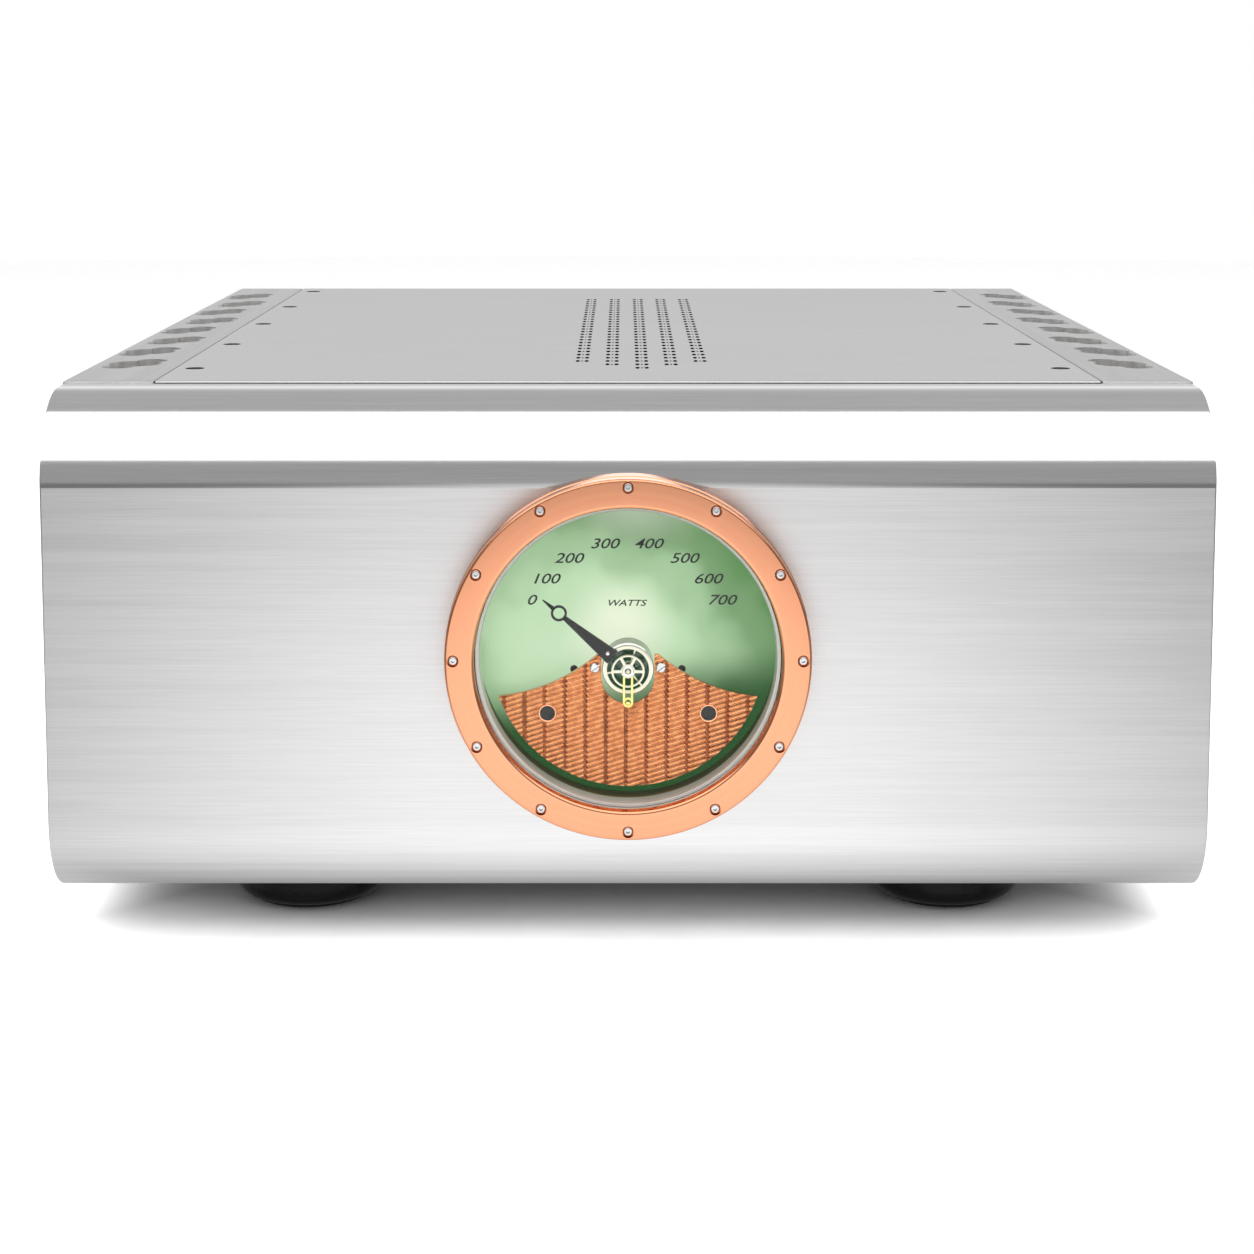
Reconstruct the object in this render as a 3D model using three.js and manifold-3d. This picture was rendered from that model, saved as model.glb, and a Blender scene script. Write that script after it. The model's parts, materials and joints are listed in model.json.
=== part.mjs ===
// Mono power amplifier: a wide aluminium chassis with a round porthole meter, chimney heat sinks
// down both sides, and its sockets on the rear panel. Millimetres, +Z up, the front towards -Y,
// and the origin on the floor below the middle of the overall length and width.
import * as THREE from "three";
import { mergeVertices } from "three/addons/utils/BufferGeometryUtils.js";
import Module from "manifold-3d";

const wasm = await Module();
wasm.setup();

// ---------------------------------------------------------------- driving dimensions
const GAP = 0.3; // kept between neighbouring pieces
const ROUND = { large: 36, medium: 20, small: 12, tiny: 8 }; // sides of a turned surface
const BODY = { width: 450, height: 200, depth: 520 };
const FOOT = { height: 25, radius: 32, padRadius: 24.6, padHeight: 5.7, studRadius: 4, x: 135, inset: 96 };
const PANEL = { depth: 45, wall: 10, endWall: 12, topRadius: 36, bottomRadius: 32 };
const COVER = {
  thickness: 4, seam: 0.8, screwInset: 8, screwHole: 2.2, counterbore: 4, counterboreDepth: 2.2,
};
const COVER_SCREW_DEPTHS = [92, 193, 294, 394, 498];
const SINK = { width: 36, ledge: 14.5, ledgeHeight: 16 };
const CHIMNEY = {
  count: 8, first: 110, pitch: 50.4, radius: 11, lobeRadius: 6.5,
  lobeAlong: 12, lobeAcross: 5, inset: 15, stagger: 3,
};
const BEZEL = {
  outer: 70, front: 69.2, inner: 58.5, proud: 15.3,
  screws: 12, screwCircle: 66.5, screwHole: 1.4, counterbore: 2.3, counterboreDepth: 3,
};
const METER = {
  drop: 100, dialDepth: 12, dialThickness: 2, pivotDrop: 6.4, barrelOuter: 9.9, barrelInner: 8.9,
};
const SECTOR = {
  outer: 52.8, tipAngle: 18, shoulderX: 11.8, front: 1, thickness: 2.5, edgeRadius: 67.3, edgeX: 56.1,
  edgeZ: 49.7, cutRadius: 10.2, cutZ: -10, holeRadius: 3.1, holeX: 31.1, holeZ: -24,
  pillarRadius: 2, pillarX: 12.7, pillarZ: -6,
};
const POINTER = {
  tip: 42.7, ringAt: 34.6, ringOuter: 3.1, ringInner: 2.2, root: 7.8, rootWidth: 6.2, restAngle: 50,
  neck: 0.9, tipWidth: 0.2,
};
const BRIDGE = { front: -3.6, back: -2.4, hub: 2.7, railInner: 5.6, railOuter: 6.4, forkX: 1.55, heelZ: -12.2 };
const REAR = { thickness: 4, reach: 38 };
const POST = { x: 34, z: 80, stud: 4, flange: 11, washer: 10, knob: 11.5 };
const XLR = { x: 122, z: 150, width: 26, height: 31, bodyRadius: 11.8 };
const RCA = { x: 122, z: 98, radius: 4.15 };
const TOGGLE = { x: 78, z: 150, tilt: 12 };
const INLET = { x: -122, z: 96, width: 48, height: 62, cavityWidth: 31, cavityHeight: 23, cavityDepth: 17 };
const ROCKER = { z: 18, tilt: 8, width: 20, length: 19.2 };
const BUTTON = { radius: 4.5, setback: 38.5, proud: 1.5 };
const TRANSFORMER = { setback: 200, outer: 80, inner: 20, height: 75, edgeRadius: 14 };
const CAPACITOR = { radius: 31, height: 110, setback: 360, pitch: 70, count: 4 };

// Planes that follow from them.
const FACE_Y = -(BODY.depth + REAR.reach - BEZEL.proud) / 2;
const BASE_Z = FOOT.height;
const TOP_Z = BASE_Z + BODY.height;
const METER_Z = TOP_Z - METER.drop;
const REAR_Y = FACE_Y + BODY.depth;
const HALF_WIDTH = BODY.width / 2;
const SINK_X = HALF_WIDTH - SINK.width;
const PLATE_X = SINK_X - COVER.seam;
const CHASSIS_Y = FACE_Y + PANEL.depth + GAP;

// ---------------------------------------------------------------- finishes
const finish = (color, roughness, metalness) =>
  new THREE.MeshStandardMaterial({ color, roughness, metalness });
const FINISH = {
  aluminium: finish(0xd4d4d3, 0.35, 1),
  copper: finish(0xe89a6c, 0.25, 1),
  brass: finish(0x9a7a3c, 0.3, 1),
  steel: finish(0xc8c8c8, 0.25, 1),
  gold: finish(0xd9b45a, 0.25, 1),
  black: finish(0x1c1c1d, 0.5, 0),
  rubber: finish(0x101010, 0.85, 0),
  glass: finish(0xf2f6f4, 0.03, 0),
  dial: finish(0xa8cba0, 0.45, 0),
  cream: finish(0xe9e6c0, 0.35, 1),
  pointer: finish(0x26262a, 0.4, 0),
  board: finish(0x1f5a35, 0.6, 0),
  varnish: finish(0x8a4a22, 0.4, 0),
  sleeve: finish(0x20304a, 0.4, 0),
};

// ---------------------------------------------------------------- solids
const radians = (degrees) => (degrees * Math.PI) / 180;

// A geometry's closed surface as a solid: equal corners merged, and no triangle without area.
function solid(geometry) {
  const bare = geometry.index ? geometry.toNonIndexed() : geometry.clone();
  bare.deleteAttribute("normal");
  bare.deleteAttribute("uv");
  const merged = mergeVertices(bare, 1e-4);
  const corners = merged.index.array;
  const kept = [];
  for (let i = 0; i < corners.length; i += 3) {
    const [a, b, c] = [corners[i], corners[i + 1], corners[i + 2]];
    if (a !== b && b !== c && c !== a) kept.push(a, b, c);
  }
  const vertProperties = new Float32Array(merged.attributes.position.array);
  return new wasm.Manifold(new wasm.Mesh({ numProp: 3, vertProperties, triVerts: new Uint32Array(kept) }));
}

const joined = (first, ...others) => others.reduce((whole, other) => whole.add(other), first);
const less = (first, ...cuts) => cuts.reduce((whole, cut) => whole.subtract(cut), first);

function mesh(name, shape, material) {
  const { numProp, vertProperties, triVerts } = shape.getMesh();
  const points = new Float32Array((vertProperties.length / numProp) * 3);
  for (let i = 0; i < points.length / 3; i++) {
    points.set(vertProperties.subarray(i * numProp, i * numProp + 3), i * 3);
  }
  const geometry = new THREE.BufferGeometry()
    .setAttribute("position", new THREE.BufferAttribute(points, 3))
    .setIndex(new THREE.BufferAttribute(triVerts, 1));
  geometry.computeVertexNormals();
  const made = new THREE.Mesh(geometry, material);
  made.name = name;
  return made;
}

function block([x0, x1], [y0, y1], [z0, z1]) {
  const geometry = new THREE.BoxGeometry(x1 - x0, y1 - y0, z1 - z0);
  return solid(geometry.translate((x0 + x1) / 2, (y0 + y1) / 2, (z0 + z1) / 2));
}

// A flat outline pushed along an axis. It is drawn in (x, y) for z, (x, z) for y and (y, z) for x.
function prism(outline, axis, from, to, curveSegments = 6) {
  const options = { depth: to - from, bevelEnabled: false, curveSegments };
  const geometry = new THREE.ExtrudeGeometry(outline, options);
  if (axis === "z") return solid(geometry.translate(0, 0, from));
  if (axis === "y") return solid(geometry.rotateX(Math.PI / 2).translate(0, to, 0));
  const along = new THREE.Matrix4().makeBasis(
    new THREE.Vector3(0, 1, 0),
    new THREE.Vector3(0, 0, 1),
    new THREE.Vector3(1, 0, 0),
  );
  return solid(geometry.applyMatrix4(along).translate(from, 0, 0));
}

// A profile of [radius, height] turned about the y axis, or about z.
function turned(profile, axis, segments = ROUND.medium) {
  const points = profile.map(([r, h]) => new THREE.Vector2(r, h));
  if (THREE.ShapeUtils.area(points) < 0) points.reverse();
  const onAxis = points[0].x === 0 && points[points.length - 1].x === 0;
  if (!onAxis) points.push(points[0].clone());
  const geometry = new THREE.LatheGeometry(points, segments);
  return solid(axis === "z" ? geometry.rotateX(Math.PI / 2) : geometry);
}

const rod = (r, axis, from, to, segments = ROUND.small) =>
  turned([[0, from], [r, from], [r, to], [0, to]], axis, segments);

const ring = (inner, outer, axis, from, to, segments = ROUND.medium) =>
  turned([[inner, from], [outer, from], [outer, to], [inner, to]], axis, segments);

const polygon = (points) => new THREE.Shape(points.map(([x, y]) => new THREE.Vector2(x, y)));

// Points along an arc, both ends included, angles in degrees.
function arc(cx, cy, radius, fromDegrees, toDegrees, steps) {
  return Array.from({ length: steps + 1 }, (_, i) => {
    const angle = radians(fromDegrees + ((toDegrees - fromDegrees) * i) / steps);
    return [cx + radius * Math.cos(angle), cy + radius * Math.sin(angle)];
  });
}

// ---------------------------------------------------------------- casing
// The panel's section in (y, z), grown inwards by inset: flat face, two quarter rounds, open back.
function panelSection(inset, back, steps) {
  const { topRadius, bottomRadius } = PANEL;
  return polygon([
    [FACE_Y + back, BASE_Z + inset],
    ...arc(FACE_Y + bottomRadius, BASE_Z + bottomRadius, bottomRadius - inset, 270, 180, steps),
    ...arc(FACE_Y + topRadius, TOP_Z - topRadius, topRadius - inset, 180, 90, steps),
    [FACE_Y + back, TOP_Z - inset],
  ]);
}

function frontPanel() {
  const { depth, wall, endWall } = PANEL;
  const shell = prism(panelSection(0, depth, 10), "x", -HALF_WIDTH, HALF_WIDTH);
  const hollow = prism(panelSection(wall, depth + 1, 5), "x", -HALF_WIDTH + endWall, HALF_WIDTH - endWall);
  const through = [FACE_Y - 1, FACE_Y + wall + 1];
  const porthole = rod(BEZEL.inner + 3.1, "y", ...through, ROUND.large).translate([0, 0, METER_Z]);
  const pilots = bezelScrewPlaces().map(([x, z]) =>
    rod(BEZEL.screwHole, "y", ...through, ROUND.tiny).translate([x, 0, METER_Z + z]),
  );
  const buttonHole = rod(BUTTON.radius + GAP, "z", BASE_Z - 1, BASE_Z + wall + 1);
  return less(shell, hollow, porthole, ...pilots, buttonHole.translate([0, FACE_Y + BUTTON.setback, 0]));
}

function coverScrewPlaces() {
  const x = PLATE_X - COVER.screwInset;
  return [-1, 1].flatMap((side) => COVER_SCREW_DEPTHS.map((depth) => [side * x, FACE_Y + depth]));
}

function topCover() {
  const under = TOP_Z - COVER.thickness;
  const plate = block([-PLATE_X, PLATE_X], [CHASSIS_Y, REAR_Y], [under, TOP_Z]);
  const holes = coverScrewPlaces().map(([x, y]) =>
    joined(
      rod(COVER.screwHole, "z", under - 1, TOP_Z, ROUND.tiny),
      rod(COVER.counterbore, "z", TOP_Z - COVER.counterboreDepth, TOP_Z + 1, ROUND.small),
    ).translate([x, y, 0]),
  );
  return less(plate, ...holes);
}

// One chimney: a round bore with a smaller lobe in front on the outside and one behind on the inside.
function chimney(side) {
  const bore = rod(CHIMNEY.radius, "z", BASE_Z - 1, TOP_Z + 1);
  const lobes = [-1, 1].map((end) =>
    rod(CHIMNEY.lobeRadius, "z", BASE_Z - 1, TOP_Z + 1, ROUND.tiny)
      .translate([-end * side * CHIMNEY.lobeAcross, end * CHIMNEY.lobeAlong, 0]),
  );
  return joined(bore, ...lobes);
}

function heatSink(side) {
  const [inner, outer] = [side * SINK_X, side * HALF_WIDTH].sort((a, b) => a - b);
  const bar = block([inner, outer], [CHASSIS_Y, REAR_Y], [BASE_Z, TOP_Z]);
  const reach = [side * (SINK_X - SINK.ledge), side * (SINK_X + 1)].sort((a, b) => a - b);
  const underCover = TOP_Z - COVER.thickness - GAP;
  const aboveBase = BASE_Z + REAR.thickness + GAP;
  const along = [CHASSIS_Y, REAR_Y - REAR.thickness - GAP];
  const ledges = [
    block(reach, along, [underCover - SINK.ledgeHeight, underCover]),
    block(reach, along, [aboveBase, aboveBase + SINK.ledgeHeight]),
  ];
  const chimneys = Array.from({ length: CHIMNEY.count }, (_, i) =>
    chimney(side).translate([
      side * (HALF_WIDTH - CHIMNEY.inset - (i % 2 ? 0 : CHIMNEY.stagger) + CHIMNEY.stagger / 2),
      FACE_Y + CHIMNEY.first + i * CHIMNEY.pitch,
      0,
    ]),
  );
  return less(joined(bar, ...ledges), ...chimneys);
}

function footPlaces() {
  const [front, rear] = [FACE_Y + FOOT.inset, REAR_Y - FOOT.inset];
  return [
    ["front_left", -FOOT.x, front],
    ["front_right", FOOT.x, front],
    ["rear_left", -FOOT.x, rear],
    ["rear_right", FOOT.x, rear],
  ];
}

function bottomPlate() {
  const along = [CHASSIS_Y, REAR_Y - REAR.thickness - GAP];
  const plate = block([-PLATE_X, PLATE_X], along, [BASE_Z, BASE_Z + REAR.thickness]);
  const holes = footPlaces().map(([, x, y]) =>
    rod(FOOT.studRadius + GAP, "z", BASE_Z - 1, BASE_Z + REAR.thickness + 1).translate([x, y, 0]),
  );
  return less(plate, ...holes);
}

// A turned foot with a rounded lower edge, a recess for its pad, and the stud that holds it.
function foot() {
  const { radius, studRadius, padRadius, padHeight } = FOOT;
  const top = BASE_Z - GAP;
  const recess = { radius: padRadius + 0.4, top: padHeight + GAP, rim: 2 };
  return turned(
    [
      [0, recess.top],
      [recess.radius, recess.top],
      [recess.radius, recess.rim],
      ...arc(radius - 7.5, 9.2, 7.5, -75, 0, 4),
      [radius, top - 1],
      [radius - 1, top],
      [studRadius, top],
      [studRadius, BASE_Z + 11],
      [0, BASE_Z + 11],
    ],
    "z",
  );
}

function footPad() {
  const { padRadius, padHeight } = FOOT;
  const edge = 1.2;
  return turned(
    [[0, 0], [padRadius - edge, 0], [padRadius, edge], [padRadius, padHeight], [0, padHeight]],
    "z",
  );
}

function rearPanel() {
  const top = TOP_Z - COVER.thickness - GAP;
  const span = [REAR_Y - REAR.thickness, REAR_Y];
  const through = [span[0] - 1, span[1] + 1];
  const plate = block([-PLATE_X, PLATE_X], span, [BASE_Z, top]);
  const round = (r, x, z) => rod(r, "y", ...through, ROUND.medium).translate([x, 0, z]);
  return less(
    plate,
    ...[-1, 1].map((side) => round(POST.stud + GAP, side * POST.x, POST.z)),
    round(XLR.bodyRadius + GAP, XLR.x, XLR.z),
    block([XLR.x - 4.8, XLR.x + 4.8], through, [XLR.z + 8, XLR.z + 13.6]),
    round(RCA.radius + GAP, RCA.x, RCA.z),
    round(4.3, TOGGLE.x, TOGGLE.z),
    block([INLET.x - 22, INLET.x + 22], through, [INLET.z - 29, INLET.z + 29]),
  );
}

// ---------------------------------------------------------------- meter, about its own centre on the face
function bezelScrewPlaces() {
  return Array.from({ length: BEZEL.screws }, (_, i) => {
    const angle = (i * 2 * Math.PI) / BEZEL.screws;
    return [BEZEL.screwCircle * Math.sin(angle), BEZEL.screwCircle * Math.cos(angle)];
  });
}

function bezel() {
  const { outer, front, inner, proud } = BEZEL;
  const body = turned(
    [
      [inner, -GAP], [outer, -GAP], [outer, -4.6], [front + 0.4, -5], [front + 0.4, 0.5 - proud],
      [front, -proud], [inner + 0.6, -proud], [inner, 0.6 - proud],
    ],
    "y",
    ROUND.large,
  );
  const hole = joined(
    rod(BEZEL.screwHole, "y", -proud, 1, ROUND.tiny),
    rod(BEZEL.counterbore, "y", -proud - 1, BEZEL.counterboreDepth - proud, ROUND.tiny),
  );
  return less(body, ...bezelScrewPlaces().map(([x, z]) => hole.translate([x, 0, z])));
}

// A screw with a chamfered head, sunk in its counterbore.
function bezelScrew() {
  const [top, shoulder, seat] = [0.9, 1.4, 2.7].map((depth) => depth - BEZEL.proud);
  const [head, shank, end] = [2, 1.1, 8];
  const profile = [
    [0, top], [head - 0.3, top], [head, shoulder], [head, seat], [shank, seat], [shank, end], [0, end],
  ];
  return turned(profile, "y", ROUND.tiny);
}

const meterGlass = () => rod(BEZEL.inner - 0.4, "y", -12.3, -9.3, ROUND.large);

const glassRetainer = () => ring(57, BEZEL.inner - 0.4, "y", -9, -0.6, ROUND.large);

// A cup let in through the panel from behind: its flange bears on the back of the wall.
function meterHousing() {
  const [inner, outer, back] = [BEZEL.inner - 0.1, BEZEL.inner + 2.8, 20];
  return turned(
    [
      [4, back - 2.6], [inner, back - 2.6], [inner, 0.2], [outer, 0.2], [outer, PANEL.wall + GAP],
      [outer + 3.5, PANEL.wall + GAP], [outer + 3.5, PANEL.wall + 2.8], [outer, PANEL.wall + 2.8],
      [outer, back], [4, back],
    ],
    "y",
    ROUND.large,
  );
}

function dialPlate() {
  const { dialDepth, dialThickness } = METER;
  return rod(BEZEL.inner - 0.5, "y", dialDepth, dialDepth + dialThickness, ROUND.large);
}

const dialBacklight = () => rod(BEZEL.inner - 2, "y", 14.4, 17);

// The plate's outline in (x, z): a wide arc below, two hollow upper edges, and the notch round the barrel.
function sectorOutline() {
  const { outer, tipAngle, shoulderX, edgeRadius, edgeX, edgeZ, cutRadius, cutZ } = SECTOR;
  const tip = [outer * Math.cos(radians(tipAngle)), -outer * Math.sin(radians(tipAngle))];
  const angleTo = (x, z) => (Math.atan2(z - edgeZ, x - edgeX) * 180) / Math.PI;
  const shoulder = [shoulderX, edgeZ - Math.sqrt(edgeRadius ** 2 - (edgeX - shoulderX) ** 2)];
  const edge = arc(edgeX, edgeZ, edgeRadius, angleTo(...shoulder), angleTo(...tip), 8).slice(0, -1);
  return polygon([
    ...arc(0, 0, outer, 180 + tipAngle, 360 - tipAngle, 24),
    ...[...edge].reverse(),
    [cutRadius, shoulder[1]],
    ...arc(0, cutZ, cutRadius, 0, -180, 12),
    [-cutRadius, shoulder[1]],
    ...edge.map(([x, z]) => [-x, z]),
  ]);
}

function sectorPlate() {
  const { front, thickness, holeRadius, holeX, holeZ, pillarRadius, pillarX, pillarZ } = SECTOR;
  const back = front + thickness;
  const pillar = rod(pillarRadius, "y", back - 0.5, METER.dialDepth - GAP, ROUND.tiny);
  const hole = rod(holeRadius, "y", front - 1, back + 1);
  const pair = (shape, x, z) => [-1, 1].map((side) => shape.translate([side * x, 0, z]));
  const plate = joined(prism(sectorOutline(), "y", front, back), ...pair(pillar, pillarX, pillarZ));
  return less(plate, ...pair(hole, holeX, holeZ));
}

// The barrel and all that turns in it are drawn about the pointer's axis.
function movementBarrel() {
  const back = METER.dialDepth - GAP;
  return turned(
    [[1.1, back - 2], [METER.barrelInner, back - 2], [METER.barrelInner, 0.5], [METER.barrelOuter, 0.5],
      [METER.barrelOuter, back], [1.1, back]],
    "y",
  );
}

function pointerArbor() {
  const rim = ring(7.7, 9.3, "y", -0.9, -0.1);
  const spoke = block([-8.4, 8.4], [-0.8, -0.2], [-0.6, 0.6]);
  const spokes = [0, 60, 120].map((angle) => spoke.rotate([0, angle, 0]));
  const shaft = rod(0.8, "y", -4.3, METER.dialDepth - 1.2, ROUND.tiny);
  return joined(rim, ...spokes, shaft, rod(1.7, "y", -0.9, 0.8));
}

// The pointer stands straight up here; the group that holds it turns it to the start of the scale.
function pointer() {
  const { tip, ringAt, ringOuter, ringInner, root, rootWidth, neck, tipWidth } = POINTER;
  const [front, back] = [-2, -1.2];
  const [below, above] = [ringAt - ringOuter + 0.5, ringAt + ringOuter - 0.5];
  const blade = polygon([[-rootWidth / 2, root], [rootWidth / 2, root], [neck, below], [-neck, below]]);
  const point = polygon([[-neck, above], [neck, above], [tipWidth, tip], [-tipWidth, tip]]);
  const eye = ring(ringInner, ringOuter, "y", front, back, ROUND.small).translate([0, 0, ringAt]);
  return joined(prism(blade, "y", front, back), eye, prism(point, "y", front, back));
}

// A hub with short arms, a long fork downwards, and one pillar that stands on the sector plate.
function movementBridge() {
  const { front, back, railInner, railOuter, forkX, heelZ } = BRIDGE;
  const hub = rod(BRIDGE.hub, "y", front, back);
  const arm = block([0, railOuter], [front, back], [-0.45, 0.45]);
  const arms = [62, 118, 182, -2].map((angle) => arm.rotate([0, -angle, 0]));
  const rail = ring(railInner, railOuter, "y", front, back, ROUND.medium);
  const prong = block([-0.4, 0.4], [front, back], [-11.6, -1.5]);
  const fork = [-1, 1].map((side) => prong.translate([side * forkX, 0, 0]));
  const heel = rod(1.95, "y", front, back).translate([0, 0, heelZ]);
  const pillar = rod(0.9, "y", back - 0.5, SECTOR.front - GAP, ROUND.tiny).translate([0, 0, -13]);
  const bearing = rod(1.1, "y", front - 1, back + 1, ROUND.tiny);
  return less(joined(hub, ...arms, rail, ...fork, heel, pillar), bearing);
}

// ---------------------------------------------------------------- rear sockets, about their own centres
function xlrSocket() {
  const flange = block([-XLR.width / 2, XLR.width / 2], [GAP, 2.4], [-XLR.height / 2, XLR.height / 2]);
  const body = joined(flange, rod(XLR.bodyRadius, "y", -20, 4, ROUND.medium));
  const groove = ring(7.4, 9.8, "y", -12, 5);
  const contacts = [0, 120, 240].map((angle) =>
    rod(1.5, "y", -10, 5, ROUND.tiny).translate([0, 0, -3.8]).rotate([0, angle, 0]),
  );
  const latchSlot = block([-4.5, 4.5], [-9, 5], [9.9, 13.3]);
  return less(body, groove, ...contacts, latchSlot);
}

const xlrLatch = () => block([-4.1, 4.1], [-5, 6.2], [10.2, 13]);

function rcaSocket() {
  const { radius } = RCA;
  const profile = [
    [0, -14], [radius, -14], [radius, GAP], [7, GAP], [7, 2.3], [radius, 2.8], [radius, 11], [0, 11],
  ];
  const body = turned(profile, "y", ROUND.small);
  return less(body, rod(1.6, "y", 2, 12, ROUND.tiny));
}

function toggleBush() {
  const outside = turned([[0, -12], [4, -12], [4, 6], [0, 6]], "y", ROUND.small);
  const nut = rod(7, "y", GAP, 3, 6);
  const mouth = turned([[0, -4], [1.9, -4], [1.9, 0], [3.4, 6.5], [0, 6.5]], "y", ROUND.small);
  return less(joined(outside, nut), mouth);
}

// The lever is drawn straight, about its pivot at the mouth's narrow end.
function toggleLever() {
  const profile = [[0, -1.5], [1.4, -1.5], [1.2, 1.5], [1.2, 9], [2.1, 15], [2.1, 17], [1.3, 18.4], [0, 18.4]];
  return turned(profile, "y", ROUND.small);
}

function mainsInlet() {
  const { width, height, cavityWidth, cavityHeight, cavityDepth } = INLET;
  const wellWidth = ROCKER.width / 2 + 0.5;
  const flange = block([-width / 2, width / 2], [GAP, 3], [-height / 2, height / 2]);
  const body = block([-21.6, 21.6], [-22, 1], [-28.6, 28.6]);
  const across = [-cavityWidth / 2, cavityWidth / 2];
  const cavity = block(across, [3 - cavityDepth, 4], [-25, -25 + cavityHeight]);
  const well = block([-wellWidth, wellWidth], [-9, 4], [ROCKER.z - 10.8, ROCKER.z + 10.8]);
  const blades = [-8, 0, 8].map((x) => block([x - 1, x + 1], [-15, -2.5], [-13, -5]));
  return joined(less(joined(flange, body), cavity, well), ...blades);
}

// The rocker's section in (y, z) about its pivot: a shallow V outside and a keel inside.
function mainsRocker() {
  const half = ROCKER.length / 2;
  const section = polygon([[5, -half], [3.6, 0], [5, half], [1, half], [-4, 2.5], [-4, -2.5], [1, -half]]);
  return prism(section, "x", -ROCKER.width / 2, ROCKER.width / 2);
}

// A stud with a flange on the panel and a bore for a banana plug.
function postStud() {
  const { stud, flange } = POST;
  const end = REAR.reach;
  const profile = [
    [0, -14], [stud, -14], [stud, GAP], [flange, GAP], [flange, 5], [stud, 5],
    [stud, end - 0.6], [stud - 0.6, end], [0, end],
  ];
  return less(turned(profile, "y"), rod(2, "y", end - 15, end + 1, ROUND.tiny));
}

const postWasher = () => ring(POST.stud + GAP, POST.washer, "y", 5.4, 8.4);

function postKnob() {
  const [bore, rim, chamfer, near, far] = [POST.stud + GAP, POST.knob, 1.5, 8.7, 30];
  const profile = [
    [bore, near], [rim - chamfer, near], [rim, near + chamfer],
    [rim, far - 2], [rim - chamfer, far], [bore, far],
  ];
  return turned(profile, "y");
}

// ---------------------------------------------------------------- inside
function transformer() {
  const { outer, inner, height, edgeRadius } = TRANSFORMER;
  return turned(
    [
      ...arc(outer - edgeRadius, edgeRadius, edgeRadius, -90, 0, 3),
      ...arc(outer - edgeRadius, height - edgeRadius, edgeRadius, 0, 90, 3),
      [inner, height],
      [inner, 0],
    ],
    "z",
  );
}

// A dished washer on a central bolt.
function transformerClamp() {
  const top = TRANSFORMER.height + GAP;
  const [bolt, washer, nut] = [5, 46, 8];
  const profile = [
    [0, 0], [bolt, 0], [bolt, top], [washer, top],
    [washer, top + 3], [nut, top + 3], [nut, top + 9], [0, top + 9],
  ];
  return turned(profile, "z", ROUND.small);
}

function capacitor() {
  const { radius, height } = CAPACITOR;
  return turned([[0, 0], [radius, 0], [radius, height - 2], [radius - 2, height], [0, height]], "z");
}

// A board that stands beside a heat sink, with a row of power transistors bearing on the sink.
function outputBoard(side) {
  const span = (near, far) => [side * near, side * far].sort((a, b) => a - b);
  const board = block(span(SINK_X - 9, SINK_X - 7), [FACE_Y + 70, REAR_Y - 50], [BASE_Z + 30, TOP_Z - 30]);
  const devices = Array.from({ length: 6 }, (_, i) => {
    const y = FACE_Y + 100 + i * 66;
    return block(span(SINK_X - 7.5, SINK_X - GAP), [y, y + 16], [METER_Z - 10, METER_Z + 11]);
  });
  return joined(board, ...devices);
}

function inputBoard() {
  const board = block([50, 160], [REAR_Y - 42, REAR_Y - 40], [BASE_Z + 45, BASE_Z + 155]);
  return joined(board, block([70, 95], [REAR_Y - 55, REAR_Y - 41], [BASE_Z + 90, BASE_Z + 110]));
}

function standbyButton() {
  const { radius, proud } = BUTTON;
  const seat = BASE_Z + PANEL.wall + GAP;
  const tip = BASE_Z - proud;
  const flange = 2.5;
  const profile = [
    [0, tip], [radius - 0.6, tip], [radius, tip + 0.6], [radius, seat],
    [radius + flange, seat], [radius + flange, seat + flange], [0, seat + flange],
  ];
  return turned(profile, "z", ROUND.small);
}

// ---------------------------------------------------------------- the scene graph
function at(object, x, y, z) {
  object.position.set(x, y, z);
  return object;
}

function assembled(name, ...members) {
  const group = new THREE.Group();
  group.name = name;
  group.add(...members);
  return group;
}

function casing() {
  const feet = footPlaces().flatMap(([place, x, y]) => [
    at(mesh("foot_" + place, foot(), FINISH.black), x, y, 0),
    at(mesh("foot_pad_" + place, footPad(), FINISH.rubber), x, y, 0),
  ]);
  return assembled(
    "casing",
    mesh("front_panel", frontPanel(), FINISH.aluminium),
    mesh("top_cover", topCover(), FINISH.aluminium),
    mesh("heat_sink_left", heatSink(-1), FINISH.aluminium),
    mesh("heat_sink_right", heatSink(1), FINISH.aluminium),
    mesh("bottom_plate", bottomPlate(), FINISH.aluminium),
    mesh("rear_panel", rearPanel(), FINISH.aluminium),
    at(mesh("standby_button", standbyButton(), FINISH.steel), 0, FACE_Y + BUTTON.setback, 0),
    ...feet,
  );
}

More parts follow.
